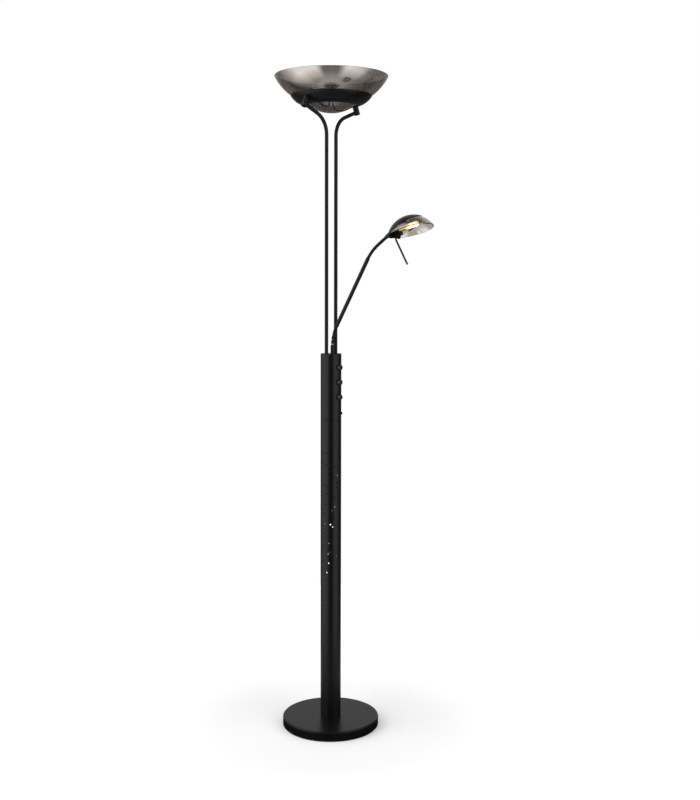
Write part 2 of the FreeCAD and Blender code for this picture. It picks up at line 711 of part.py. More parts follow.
# Lamp bridge: a bent strip from screw to screw, with a lamp socket standing at each end.
bridge_width = cell("bridge_width", 14)
foot_outer = cell("bridge_foot_outer", 5)
foot_inner = cell("bridge_foot_inner", 7)
foot_x, foot_z = along_bracket(foot_distance)
out_x, out_z = foot_x + foot_outer * cos(bracket_angle), foot_z + foot_outer * sin(bracket_angle)
in_x, in_z = foot_x - foot_inner * cos(bracket_angle), foot_z - foot_inner * sin(bracket_angle)
tip_x, tip_z = foot_plate * sin(bracket_angle), foot_plate * cos(bracket_angle)
strip = padded("strip", [
    (-in_x, in_z), (in_x, in_z), (out_x, out_z), (out_x - tip_x, out_z + tip_z),
    (in_x - tip_x / 2, in_z + foot_plate), (-in_x + tip_x / 2, in_z + foot_plate),
    (-out_x + tip_x, out_z + tip_z), (-out_x, out_z)],
    bridge_width, role="XZ_Plane", midplane=True)
strip_drills = []
for side in (1, -1):
    drill = cylinder(f"strip_drill_{bracket_names[side]}", bridge_screw_radius + sliding_gap,
                     foot_plate * 8)
    strip_drills.append(on_bracket_axis(drill, foot_distance + foot_plate * 2, side))
subpart(cut("strip_drilled", strip, fuse("strip_drills", strip_drills)), "lamp_bridge")

bridge_top = in_z + foot_plate
lamp_reach = cell("lamp_reach", 59)
lamp_radius = cell("lamp_radius", 5.2)
lamp_end_radius = cell("lamp_end_radius", 3.4)
lamp_lift = cell("lamp_lift", 18)
socket_width = cell("socket_width", 14)
socket_thickness = cell("socket_thickness", 12)
socket_grip = cell("socket_grip", 4)
lamp_neck = cell("lamp_neck", 2)
socket_height = lamp_lift + socket_width / 2
socket_face = lamp_reach - socket_grip
for side in (1, -1):
    name = bracket_names[side]
    block = padded(f"socket_{name}", rectangle(
        socket_face * side, (socket_face + socket_thickness) * side,
        -socket_width / 2, socket_width / 2), socket_height)
    pocket(block, f"socket_{name}_seat", "YZ_Plane", lamp_reach + touch_gap,
           [(0, lamp_lift, lamp_end_radius + touch_gap)], reverse=side > 0)
    subpart(place(block, 0, 0, bridge_top), f"lamp_socket_{name}")
lamp_body = socket_face - lamp_neck
lamp = turned("lamp", [
    (0, -lamp_reach), (lamp_end_radius, -lamp_reach), (lamp_end_radius, -lamp_body),
    (lamp_radius, -lamp_body), (lamp_radius, lamp_body), (lamp_end_radius, lamp_body),
    (lamp_end_radius, lamp_reach), (0, lamp_reach)])
place(lamp, 0, 0, bridge_top + lamp_lift, Vector(0, 1, 0), as_size(90))
subpart(lamp, "uplight_lamp")


# ---------------------------------------------------------------- reading arm
# The arm lies in the plane X = 0. Each piece is made along its own +Z, and tilt is the angle of
# that axis from the vertical towards the front. The two goosenecks are chains of ribbed links,
# with a hinge in the middle of every gap and cone-shaped ends that leave room to bend.

flex_gap = cell("flex_gap", 0.3)
flex_relief_angle = cell("flex_relief_angle", 7.5)
flex_bore = cell("flex_bore", 2.2)
flex_groove = cell("flex_groove", 0.7)
rib_width = cell("rib_width", 1.7)
RIBS = 4
ferrule_radius = cell("ferrule_radius", 6)
ferrule_height = cell("ferrule_height", 25.5)
ferrule_neck = cell("ferrule_neck", 2)      # the ferrule's narrow top, and the taper below it
nipple_height = cell("nipple_height", 14)
lower_flex_radius = cell("lower_flex_radius", 4.9)
lower_flex_pitch = cell("lower_flex_pitch", 12.5)
lower_flex_angle = cell("lower_flex_angle", 6.34)
LOWER_LINKS = 4
arm_radius = cell("arm_radius", 5.3)
arm_wall = cell("arm_wall", 1.2)
arm_length = cell("arm_length", 219)
upper_flex_radius = cell("upper_flex_radius", 4.4)
upper_flex_pitch = cell("upper_flex_pitch", 13.2)
upper_flex_angle = cell("upper_flex_angle", 6.0)
UPPER_LINKS = 6
UPPER_BENT_HINGES = 4
end_ferrule_radius = cell("end_ferrule_radius", 5.2)
end_ferrule_taper = cell("end_ferrule_taper", 1.5)
neck_reach = cell("neck_reach", 14)
neck_radius = cell("neck_radius", 5.6)
end_ferrule_length = neck_reach - neck_radius - touch_gap
neck_shank_radius = cell("neck_shank_radius", 2.8)
neck_shank_grip = cell("neck_shank_grip", 7)

HINGES = []     # (name, forward, height, tilt above the hinge) of every hinge of the arm


def flex_link(name, radius, pitch):
    """One ribbed gooseneck link, from half a gap after one hinge to half a gap before the next."""
    low = flex_gap / 2
    top = pitch - flex_gap / 2
    core = radius - flex_groove
    edge = tan(flex_relief_angle)
    section = [(flex_bore, low + flex_bore * edge), (core, low + core * edge)]
    first = low + radius * edge
    rib_step = (top - radius * edge - first - rib_width) / (RIBS - 1)
    for rib in range(RIBS):
        start = first + rib_step * rib
        section += [(radius, start), (radius, start + rib_width)]
        if rib < RIBS - 1:
            section += [(core, start + rib_width + flex_groove / 2),
                        (core, start + rib_step - flex_groove / 2)]
    section += [(core, top - core * edge), (flex_bore, top - flex_bore * edge)]
    return turned(name, section)


def stand_on_arm(thing, forward, height, tilt):
    return place(thing, 0, -forward, height, angle=tilt)


nipple = turned("nipple", tube_section(flex_bore, nipple_radius, tube_low,
                                       column_top + nipple_height))
subpart(place(nipple, 0, -stub_offset, 0), "arm_nipple")

# The ferrule turns on the nipple and carries the lower gooseneck.
hinge_z = column_top + touch_gap + ferrule_height
ferrule_top = ferrule_height - flex_gap / 2
ferrule = turned("ferrule", [
    (nipple_radius + running_gap, 0), (ferrule_radius, 0),
    (ferrule_radius, ferrule_top - 2 * ferrule_neck - ferrule_radius * tan(flex_relief_angle)),
    (lower_flex_radius, ferrule_top - ferrule_neck - lower_flex_radius * tan(flex_relief_angle)),
    (lower_flex_radius, ferrule_top - lower_flex_radius * tan(flex_relief_angle)),
    (flex_bore, ferrule_top - flex_bore * tan(flex_relief_angle)),
    (flex_bore, nipple_height), (nipple_radius + running_gap, nipple_height)])
subpart(place(ferrule, 0, -stub_offset, column_top + touch_gap), "arm_ferrule")

forward, height, tilt = stub_offset, hinge_z, as_size(0)
for number in range(1, LOWER_LINKS + 1):
    tilt = tilt + lower_flex_angle
    HINGES.append((f"lower_flex_{number}", forward, height))
    link = flex_link(f"lower_link_{number}", lower_flex_radius, lower_flex_pitch)
    subpart(stand_on_arm(link, forward, height, tilt), f"lower_flex_{number}")
    forward, height = forward + lower_flex_pitch * sin(tilt), height + lower_flex_pitch * cos(tilt)

tilt = tilt + lower_flex_angle
HINGES.append(("arm_tube", forward, height))
edge = tan(flex_relief_angle)
low, top = flex_gap / 2, arm_length - flex_gap / 2
arm_core = arm_radius - arm_wall
plug = cell("arm_plug", 12)
crimp = cell("arm_crimp", 1)
crimp_radius = arm_radius - crimp
# The tube's ends are closed by crimped plugs down to the cable's bore.
arm = turned("arm", [
    (flex_bore, low + flex_bore * edge), (crimp_radius, low + crimp_radius * edge),
    (arm_radius, low + arm_radius * edge + crimp), (arm_radius, top - arm_radius * edge - crimp),
    (crimp_radius, top - crimp_radius * edge), (flex_bore, top - flex_bore * edge),
    (flex_bore, top - plug), (arm_core, top - plug), (arm_core, low + plug), (flex_bore, low + plug)])
subpart(stand_on_arm(arm, forward, height, tilt), "arm_tube")
forward, height = forward + arm_length * sin(tilt), height + arm_length * cos(tilt)

for number in range(1, UPPER_LINKS + 1):
    if number <= UPPER_BENT_HINGES:
        tilt = tilt + upper_flex_angle
    HINGES.append((f"upper_flex_{number}", forward, height))
    link = flex_link(f"upper_link_{number}", upper_flex_radius, upper_flex_pitch)
    subpart(stand_on_arm(link, forward, height, tilt), f"upper_flex_{number}")
    forward, height = forward + upper_flex_pitch * sin(tilt), height + upper_flex_pitch * cos(tilt)

HINGES.append(("flex_end", forward, height))
flex_end = turned("end_ferrule", [
    (flex_bore, low + flex_bore * edge), (upper_flex_radius, low + upper_flex_radius * edge),
    (end_ferrule_radius, low + upper_flex_radius * edge + end_ferrule_taper),
    (end_ferrule_radius, end_ferrule_length), (neck_shank_radius + running_gap, end_ferrule_length),
    (neck_shank_radius + running_gap, end_ferrule_length - neck_shank_grip - touch_gap),
    (flex_bore, end_ferrule_length - neck_shank_grip - touch_gap)])
subpart(stand_on_arm(flex_end, forward, height, tilt), "flex_end")


# ---------------------------------------------------------------- reading head

neck_forward = forward + neck_reach * sin(tilt)
neck_height = height + neck_reach * cos(tilt)
HINGES.append(("head_turn", neck_forward, neck_height))

dome_radius = cell("dome_radius", 66.6)
dome_glass = cell("dome_glass", 2.5)
dome_spread_angle = cell("dome_spread_angle", 65.2)
dome_lean_angle = cell("dome_lean_angle", 16.4)
shell_wall = cell("shell_wall", 1.2)
shell_spread_angle = cell("shell_spread_angle", 49.4)
shell_lean_angle = cell("shell_lean_angle", 33.4)
shell_aside_angle = cell("shell_aside_angle", 11.5)
neck_angle = cell("neck_angle", 76.7)
neck_distance = cell("neck_distance", 83.3)
neck_pipe_radius = cell("neck_pipe_radius", 5.2)
head_nipple_radius = cell("head_nipple_radius", 3.2)

# The dome's and the shell's common sphere centre. Leans are towards the back, from the vertical.
# The shell is turned a little towards -X on the neck, as in the photo.
centre_forward = neck_forward + neck_distance * sin(neck_angle)
centre_height = neck_height - neck_distance * cos(neck_angle)


def stand_on_head(thing, forward, height, lean, aside=as_size(0)):
    """Stands a piece at a point of the head; its own +Z leans to the column, aside turns it to -X."""
    across = Vector(math.cos(math.radians(aside.value)), math.sin(math.radians(aside.value)), 0)
    return place(thing, 0, -(centre_forward + forward), centre_height + height, across, -lean)


def along_neck(distance):
    """A point at a distance from the sphere's centre towards the neck."""
    return -distance * sin(neck_angle), distance * cos(neck_angle)


def spherical_shell(name, inner, outer, spread):
    """A cap of a hollow sphere about its own centre, open downwards."""
    return turned(name, [
        (0, inner), (0, outer), (outer * sin(spread), outer * cos(spread)),
        (inner * sin(spread), inner * cos(spread))], {1: (outer, -1), 3: (inner, 1)})


shell_inner = dome_radius + touch_gap
shell_outer = shell_inner + shell_wall
glass_inner = dome_radius - dome_glass
screw_radius = cell("glass_screw_radius", 2)
screw_head_radius = cell("glass_screw_head", 4)
screw_head_depth = cell("glass_screw_head_depth", 2.2)

dome_drill = stand_on_head(cylinder("dome_neck_drill", head_nipple_radius + touch_gap, dome_radius),
                           *along_neck(dome_radius / 2), neck_angle)
dome_screw_drill = stand_on_head(cylinder("dome_screw_drill", screw_radius + touch_gap,
                                          dome_radius * 2), 0, 0, shell_lean_angle,
                                 shell_aside_angle)
dome = spherical_shell("dome", glass_inner, dome_radius, dome_spread_angle)
stand_on_head(dome, 0, 0, dome_lean_angle)
dome_cut = cut("dome_cut", dome, fuse("dome_drills", [dome_drill, dome_screw_drill]))
subpart(dome_cut, "head_glass")

shell_drill = stand_on_head(cylinder("shell_neck_drill", head_nipple_radius + running_gap,
                                     dome_radius), *along_neck(dome_radius / 2 + shell_wall * 2),
                            neck_angle)
shell_screw_drill = stand_on_head(cylinder("shell_screw_drill", screw_radius + running_gap,
                                           dome_radius * 2), 0, 0, shell_lean_angle,
                                  shell_aside_angle)
shell = spherical_shell("shell", shell_inner, shell_outer, shell_spread_angle)
stand_on_head(shell, 0, 0, shell_lean_angle, shell_aside_angle)
shell_cut = cut("shell_cut", shell, fuse("shell_drills", [shell_drill, shell_screw_drill]))
subpart(shell_cut, "head_shell")

screw_top = shell_outer - shell_wall / 2
screw_seat = glass_inner - touch_gap
screw_low = screw_seat - screw_head_depth
glass_screw = turned("dome_screw", [
    (0, screw_low), (screw_head_radius, screw_low), (screw_head_radius, screw_seat),
    (screw_radius, screw_seat), (screw_radius, screw_top), (0, screw_top)])
subpart(stand_on_head(glass_screw, 0, 0, shell_lean_angle, shell_aside_angle), "glass_screw")

# Neck: a ball with a shank in the gooseneck's end and a pipe that ends against the shell. The
# nipple passes through shell, glass and washer, and the holder block is screwed on it.
washer_radius = cell("neck_washer_radius", 5)
washer_thickness = cell("neck_washer_thickness", 1.2)
block_length = cell("block_length", 11)
nipple_margin = cell("nipple_margin", 2)    # left between the nipple's end and the block's far face
flange_lift = cell("flange_lift", 0.6)
washer_top = glass_inner - washer_radius * washer_radius / (2 * glass_inner) - touch_gap
block_outer = washer_top - washer_thickness - touch_gap
nipple_end = block_outer - block_length + nipple_margin
flange_at = shell_outer + flange_lift
ball = doc.addObject("Part::Sphere", "neck_ball")
bind(ball, "Radius", neck_radius)
place(ball, 0, -neck_forward, neck_height)
shank = cylinder("neck_shank", neck_shank_radius, neck_reach - end_ferrule_length + neck_shank_grip)
shank_start = end_ferrule_length - neck_shank_grip
stand_on_arm(shank, forward + shank_start * sin(tilt), height + shank_start * cos(tilt), tilt)
collar_start = end_ferrule_length + touch_gap
collar = cylinder("neck_collar", end_ferrule_radius, neck_reach - collar_start)
stand_on_arm(collar, forward + collar_start * sin(tilt), height + collar_start * cos(tilt), tilt)
neck_pipe = cylinder("neck_pipe", neck_pipe_radius, neck_distance - flange_at)
stand_on_head(neck_pipe, *along_neck(flange_at), neck_angle)
head_nipple = cylinder("head_nipple", head_nipple_radius, neck_distance - nipple_end)
stand_on_head(head_nipple, *along_neck(nipple_end), neck_angle)
subpart(fuse("neck", [ball, shank, collar, neck_pipe, head_nipple]), "head_neck")

washer = turned("washer", tube_section(head_nipple_radius + running_gap, washer_radius,
                                       washer_top - washer_thickness, washer_top))
subpart(stand_on_head(washer, 0, 0, neck_angle), "neck_washer")

# Holder block: one box on the nipple, and a plate that faces the bulb.
block_width = cell("block_width", 18)
block_under = cell("block_under", 4.6)      # from the neck's axis to the block's underside
block_over = cell("block_over", 10)
plate_width = cell("plate_width", 16)
plate_thickness = cell("plate_thickness", 10.6)
plate_low = cell("plate_low", 14)           # from the bulb's axis to the plate's lower edge
plate_high = cell("plate_high", 1)
bulb_rise_angle = cell("bulb_rise_angle", 13.4)
bulb_lift = cell("bulb_lift", 18.4)
bulb_socket_radius = cell("bulb_socket_radius", 8)
bulb_socket_length = cell("bulb_socket_length", 20)
bulb_radius = cell("bulb_radius", 6.5)
bulb_length = cell("bulb_length", 46)
bulb_socket_seat = cell("bulb_socket_seat", 5)
back_box = padded("block_back", rectangle(-block_width / 2, block_width / 2, -block_over,
                                          block_under), block_length)
stand_on_head(back_box, *along_neck(block_outer - block_length), neck_angle)
bulb_lean = -90 + bulb_rise_angle     # the bulb's own +Z points forward and up
pivot_forward, pivot_height = along_neck(block_outer - block_length)
bulb_forward = pivot_forward - bulb_lift * sin(bulb_rise_angle)
bulb_height = pivot_height + bulb_lift * cos(bulb_rise_angle)
front_plate = padded("block_front", rectangle(
    -plate_width / 2, plate_width / 2, -plate_low, -plate_high), plate_thickness)
stand_on_head(front_plate, bulb_forward, bulb_height, bulb_lean)
block_bore = cylinder("block_bore", head_nipple_radius + running_gap, block_length * 2)
stand_on_head(block_bore, *along_neck(nipple_end - running_gap), neck_angle)

# Handle: a rod screwed into the block's underside beside the nipple, with a tip on its spigot.
rod_radius = cell("rod_radius", 2.5)
rod_length = cell("rod_length", 78)
rod_lean_angle = cell("rod_lean_angle", 31.5)
rod_aside = cell("rod_aside", 6)
rod_inset = cell("rod_inset", 6.6)
rod_sink = cell("rod_sink", 5.5)
rod_shoulder = cell("rod_shoulder", 3)
rod_thread_radius = cell("rod_thread_radius", 1.5)
rod_tip_length = cell("rod_tip_length", 9)
rod_tip_radius = cell("rod_tip_radius", 2.7)
rod_tip_wall = cell("rod_tip_wall", 1.2)
spigot_radius = cell("spigot_radius", 1.7)
inset_forward, inset_height = along_neck(block_outer - rod_inset)
rod_forward = inset_forward - block_under * cos(neck_angle)
rod_height = inset_height - block_under * sin(neck_angle)


def stand_on_rod(thing, distance):
    """Stands a piece on the handle's axis, its own +Z down the handle, from the block's underside."""
    return place(thing, -rod_aside, -(centre_forward + rod_forward + distance * sin(rod_lean_angle)),
                 centre_height + rod_height - distance * cos(rod_lean_angle),
                 angle=180 - rod_lean_angle)


rod_bore = cylinder("rod_bore", rod_thread_radius + running_gap, rod_sink * 2)
stand_on_rod(rod_bore, -rod_sink - running_gap)
block_solid = fuse("block_solid", [back_box, front_plate])
subpart(cut("block_cut", block_solid, fuse("block_drills", [block_bore, rod_bore])),
        "holder_block")

tip_start, tip_floor = rod_length - rod_tip_length, rod_length - rod_tip_wall
rod = turned("rod", [
    (0, -rod_sink), (rod_thread_radius, -rod_sink), (rod_thread_radius, rod_shoulder),
    (rod_radius, rod_shoulder), (rod_radius, tip_start - touch_gap),
    (spigot_radius, tip_start - touch_gap), (spigot_radius, tip_floor - touch_gap),
    (0, tip_floor - touch_gap)])
subpart(stand_on_rod(rod, 0), "handle_rod")
tip = turned("rod_tip", [
    (0, tip_floor), (spigot_radius + running_gap, tip_floor),
    (spigot_radius + running_gap, tip_start), (rod_tip_radius, tip_start),
    (rod_tip_radius, rod_length), (0, rod_length)])
subpart(stand_on_rod(tip, 0), "handle_tip")

socket_start = plate_thickness
socket_end = socket_start + bulb_socket_length
bulb_socket = turned("bulb_socket_body", [
    (0, socket_start), (bulb_socket_radius, socket_start), (bulb_socket_radius, socket_end),
    (bulb_radius + touch_gap, socket_end), (bulb_radius + touch_gap, socket_end - bulb_socket_seat),
    (0, socket_end - bulb_socket_seat)])
subpart(stand_on_head(bulb_socket, bulb_forward, bulb_height, bulb_lean), "bulb_socket")
bulb_start = socket_end - bulb_socket_seat + touch_gap
bulb_end = bulb_start + bulb_length
bulb = turned("bulb_body", [
    (0, bulb_start), (bulb_radius, bulb_start), (bulb_radius, bulb_end - bulb_radius),
    (0, bulb_end)], {2: (bulb_radius, 1)})
subpart(stand_on_head(bulb, bulb_forward, bulb_height, bulb_lean), "reading_bulb")


# ---------------------------------------------------------------- check and export

doc.recompute()
for thing in doc.Objects:
    if "Invalid" in thing.State or "Error" in thing.State:
        raise RuntimeError(f"{thing.Label} failed: {thing.State}")
for thing in SUBPARTS:
    shape = thing.Shape
    if shape.isNull() or not shape.isValid() or not shape.Solids:
        raise RuntimeError(f"{thing.Label} has no valid solid")

os.makedirs("parts", exist_ok=True)
for thing in SUBPARTS:
    thing.Shape.exportStep(os.path.join("parts", f"{thing.Label}.step"))

for name, forward, height in HINGES:
    print(f"{name}: y {-forward.value:.3f} z {height.value:.3f}")
print("head sphere centre: y %.3f z %.3f" % (-centre_forward.value, centre_height.value))
print("head turn axis tilt: %.3f" % tilt.value)
print(f"{len(SUBPARTS)} sub-parts written")
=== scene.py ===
"""Looks of a torchiere floor lamp with a reading light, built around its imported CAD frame.

Sizes are in millimetres and go into the meshes in metres, in the frame's own axes: +Z is up and the
knobs and the reading arm face -Y. One section follows another as the lamp is put together."""

import bpy
import numpy as np
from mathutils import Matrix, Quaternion, Vector


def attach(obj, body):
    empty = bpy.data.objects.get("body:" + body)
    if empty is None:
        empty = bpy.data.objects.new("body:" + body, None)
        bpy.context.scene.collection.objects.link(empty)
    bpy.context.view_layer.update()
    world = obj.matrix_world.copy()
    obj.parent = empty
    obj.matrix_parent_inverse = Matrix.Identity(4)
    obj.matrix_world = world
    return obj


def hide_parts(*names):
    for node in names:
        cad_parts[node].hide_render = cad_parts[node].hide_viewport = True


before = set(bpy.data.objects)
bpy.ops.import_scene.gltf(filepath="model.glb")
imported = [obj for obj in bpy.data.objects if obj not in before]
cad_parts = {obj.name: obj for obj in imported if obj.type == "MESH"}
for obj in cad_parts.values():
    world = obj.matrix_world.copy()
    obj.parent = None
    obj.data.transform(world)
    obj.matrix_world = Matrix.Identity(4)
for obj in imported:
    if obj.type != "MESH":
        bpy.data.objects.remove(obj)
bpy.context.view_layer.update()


# ---------------------------------------------------------------- base
# A pressed steel cover, powder coated satin black, over a cast iron weight. It stands on a ring of
# pressed felt, and screws from below pull the column's foot down on it.

MM = 0.001


class Socket:
    """A node's output in a shader. Sums of it with numbers or other sockets add Math nodes."""

    def __init__(self, tree, output):
        self.tree, self.output = tree, output

    def node(self, kind, settings=None, values=None, output=0):
        """Adds a node to the same shader: its settings first, then its sockets' values or links."""
        node = self.tree.nodes.new(kind)
        for setting, value in (settings or {}).items():
            if setting == "stops":
                stops = node.color_ramp.elements
                while len(stops) < len(value):
                    stops.new(1.0)
                for stop, (position, grey) in zip(stops, value):
                    stop.position, stop.color = position, (grey, grey, grey, 1.0)
            else:
                setattr(node, setting, value)
        for socket, value in (values or {}).items():
            if isinstance(value, Socket):
                self.tree.links.new(value.output, node.inputs[socket])
            else:
                node.inputs[socket].default_value = value
        return Socket(self.tree, node.outputs[output] if node.outputs else None)

    def math(self, operation, first, second=0.0):
        return self.node("ShaderNodeMath", {"operation": operation}, {0: first, 1: second})

    def __add__(self, other):
        return self.math("ADD", self, other)

    def __sub__(self, other):
        return self.math("SUBTRACT", self, other)

    def __rsub__(self, other):
        return self.math("SUBTRACT", other, self)

    def __mul__(self, other):
        return self.math("MULTIPLY", self, other)

    __radd__, __rmul__ = __add__, __mul__

    def noise(self, size, detail=2.0, squeeze=(1, 1, 1)):
        """Noise with features of that size in millimetres, finer along an axis squeezed over 1."""
        scaled = self.node("ShaderNodeMapping", None, {"Vector": self, "Scale": squeeze})
        return self.node("ShaderNodeTexNoise", None,
                         {"Vector": scaled, "Scale": 1 / (size * MM), "Detail": detail})

    def mixed(self, first, second):
        """The colour that this factor gives between two colours."""
        ends = [c if isinstance(c, Socket) else (*c, 1.0) for c in (first, second)]
        return self.node("ShaderNodeMix", {"data_type": "RGBA"},
                         {0: self, 6: ends[0], 7: ends[1]}, 2)

    def bump(self, depth):
        """The surface's normal with this height on it, of a depth in millimetres."""
        return self.node("ShaderNodeBump", None, {"Distance": depth * MM, "Height": self})


def finish(name):
    """Starts a finish: an empty material, and the piece's own coordinates in metres as a socket."""
    material = bpy.data.materials.new(name)
    material.use_nodes = True
    material.node_tree.nodes.clear()
    place = material.node_tree.nodes.new("ShaderNodeTexCoord")
    return material, Socket(material.node_tree, place.outputs["Object"])


def coat(place, values):
    """Ends a finish with one Principled surface that has these values."""
    surface = place.node("ShaderNodeBsdfPrincipled", None, values)
    place.node("ShaderNodeOutputMaterial", None, {"Surface": surface})


def clad(material, *nodes):
    """Gives CAD nodes that stay in view their finish."""
    for name in nodes:
        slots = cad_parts[name].data.materials
        slots.clear()
        slots.append(material)


def filleted(corners, steps=6):
    """A section from corners (r, h, radius): each corner becomes an arc of its radius that touches
    both of its sides, from radius / tan(half the corner's angle) before it to as far after it."""
    points = np.array([c[:2] for c in corners], float)
    section = []
    for here, corner in enumerate(corners):
        point, radius = points[here], corner[2] if len(corner) > 2 else 0
        if not radius:
            section.append(point[None])
            continue
        back = points[here - 1] - point
        on = points[(here + 1) % len(points)] - point
        back, on = back / np.hypot(*back), on / np.hypot(*on)
        half = np.arccos(np.clip(back @ on, -1, 1)) / 2
        middle = (back + on) / np.hypot(*(back + on))
        centre = point + middle * radius / np.sin(half)
        start = point + back * radius / np.tan(half) - centre
        end = point + on * radius / np.tan(half) - centre
        turn = np.linspace(0, 1, steps + 1)[:, None] * (np.pi - 2 * half)
        across = (end - start * np.cos(turn[-1])) / np.sin(turn[-1])
        section.append(centre + start * np.cos(turn) + across * np.sin(turn))
    return np.concatenate(section)


def skin(name, grid, ring):
    """A closed mesh over a grid of points (row, column, xyz), each row a closed loop and, if ring,
    the last row joined to the first. Rows shrunk to a point become poles. A point's normal is the
    mean of its faces' normals by area, so a flat stays flat beside a fine rounded edge."""
    rows, columns = grid.shape[:2]
    points = grid.reshape(-1, 3) * MM
    row = np.arange(rows if ring else rows - 1)[:, None]
    column = np.arange(columns)[None]
    after, beside = (row + 1) % rows, (column + 1) % columns
    pole = np.zeros(rows, bool)
    if not ring:
        pole[[0, -1]] = np.ptp(grid[[0, -1]], axis=1).max(-1) < 1e-6
    first = np.where(pole, 0, 1)
    quads = np.stack([r * columns + c * first[r] for r, c in (
        (row, column), (row, beside), (after, beside), (after, column))], -1).reshape(-1, 4)
    low = quads[:, 0] == quads[:, 1]
    high = quads[:, 2] == quads[:, 3]
    faces = [quads[~low & ~high], quads[low][:, [0, 2, 3]], quads[high][:, [0, 1, 2]]]
    used, places = np.unique(np.concatenate([f.ravel() for f in faces]), return_inverse=True)
    counts = np.concatenate([np.full(len(f), f.shape[1]) for f in faces])
    points = points[used]
    mesh = bpy.data.meshes.new(name)
    mesh.vertices.add(len(points))
    mesh.vertices.foreach_set("co", points.ravel())
    mesh.loops.add(len(places))
    mesh.loops.foreach_set("vertex_index", places.astype(np.int32))
    mesh.polygons.add(len(counts))
    starts = np.concatenate([[0], np.cumsum(counts)[:-1]])
    mesh.polygons.foreach_set("loop_start", starts.astype(np.int32))
    mesh.polygons.foreach_set("loop_total", counts.astype(np.int32))
    mesh.update(calc_edges=True)
    mesh.validate()
    areas, normals = np.zeros(len(counts), np.float32), np.zeros(len(counts) * 3, np.float32)
    mesh.polygons.foreach_get("area", areas)
    mesh.polygons.foreach_get("normal", normals)
    weighted = np.repeat(normals.reshape(-1, 3) * areas[:, None], counts, 0)
    total = np.zeros_like(points)
    np.add.at(total, places, weighted)
    total /= np.maximum(np.linalg.norm(total, axis=1, keepdims=True), 1e-12)
    mesh.shade_smooth()
    mesh.normals_split_custom_set_from_vertices(total)
    piece = bpy.data.objects.new(name, mesh)
    bpy.context.collection.objects.link(piece)
    return piece


def turned(name, section, foot=(0, 0, 0), axis=(0, 0, 1), around=128, ring=False):
    """A piece from a lathe: each point (r, h) of the section is carried round the axis that starts
    at foot, to foot + h * axis + r * (cos a * across + sin a * aside) for every angle a."""
    axis = np.array(axis, float) / np.linalg.norm(axis)
    across = np.cross(axis, (0, 0, 1) if abs(axis[2]) < 0.9 else (0, 1, 0))
    across /= np.linalg.norm(across)
    aside = np.cross(axis, across)
    angle = np.linspace(0, 2 * np.pi, around, endpoint=False)[:, None]
    circle = np.cos(angle) * across + np.sin(angle) * aside
    radius, height = np.asarray(section, float).T[:, :, None, None]
    return skin(name, np.asarray(foot, float) + height * axis + radius * circle, ring)


def fit(piece, material, slot, body, *nodes):
    """Finishes a piece, lets it ride on its body, and lets it stand for these CAD nodes."""
    piece.data.materials.append(material)
    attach(piece, body)
    if nodes:
        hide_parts(*nodes)
    return piece


BASE_RADIUS, BASE_LOW, BASE_TOP, BASE_WALL = 135, 3, 28, 1.6
BASE_HOLE, BASE_EDGE = 6, 4

powder, place = finish("satin_black_powder")
grain = place.noise(1.4, 2)
coat(place, {
    "Base Color": place.noise(70).mixed((0.0025, 0.0025, 0.0027), (0.004, 0.004, 0.0043)),
    "Roughness": place.noise(24, 3) * 0.08 + grain * 0.04 + 0.25, "IOR": 1.4,
    "Specular IOR Level": 0.24, "Normal": grain.bump(0.0008)})

felt, place = finish("pressed_felt")
fibres = place.noise(0.5, 4, (1, 1, 3))
coat(place, {
    "Base Color": fibres.mixed((0.012, 0.012, 0.013), (0.035, 0.035, 0.037)),
    "Roughness": 0.95, "Normal": fibres.bump(0.25), "Sheen Weight": 0.3})

iron, place = finish("painted_cast_iron")
cast = place.noise(1.6, 5)
coat(place, {
    "Base Color": place.noise(20, 4).mixed((0.02, 0.02, 0.02), (0.045, 0.044, 0.043)),
    "Roughness": cast * 0.2 + 0.5, "Normal": cast.bump(0.3)})

zinc, place = finish("zinc_plated_steel")
bloom = place.noise(6, 4)
coat(place, {
    "Base Color": bloom.mixed((0.42, 0.43, 0.45), (0.62, 0.61, 0.58)), "Metallic": 1.0,
    "Roughness": bloom * 0.15 + 0.25, "Normal": place.noise(0.4, 3).bump(0.004)})

rubber, place = finish("moulded_rubber")
coat(place, {
    "Base Color": place.noise(8).mixed((0.008, 0.008, 0.008), (0.014, 0.014, 0.014)),
    "Roughness": 0.7, "Normal": place.noise(0.35, 3).bump(0.01)})

inner_radius, inner_top = BASE_RADIUS - BASE_WALL, BASE_TOP - BASE_WALL
base = turned("base_disc_cover", filleted([
    (BASE_HOLE, inner_top), (inner_radius, inner_top, BASE_EDGE - BASE_WALL),
    (inner_radius, BASE_LOW, 0.5), (BASE_RADIUS, BASE_LOW, 0.7),
    (BASE_RADIUS, BASE_TOP, BASE_EDGE), (BASE_HOLE, BASE_TOP)], 10), ring=True, around=256)
fit(base, powder, "black_powder", "stand", "base_cover")
clad(felt, "base_pad")
clad(iron, "base_weight")
clad(zinc, "base_spacer", "base_screws", "column_foot")
clad(rubber, "cable_gland")


# ---------------------------------------------------------------- column
# Steel tube in two lengths, pushed over a sleeve whose collar shows between them. The lower length
# has a field of small drilled holes, in front of an opal tube over a strip of diodes. The opal's
# colour is painted near black, a painted shade inside the column, save in glowing patches low down.

COLUMN_RADIUS, RING_LOW, RING_TOP, RING_CHAMFER = 28.7, 867.9, 874.8, 0.9
SLEEVE_REACH, SLEEVE_RADIUS, SLEEVE_BORE = 26, 27.05, 25.05
LIT_BELOW, LIT_FADE = 650, 50
MERGED_WITHIN, WALL_FACING = 0.001, 0.97


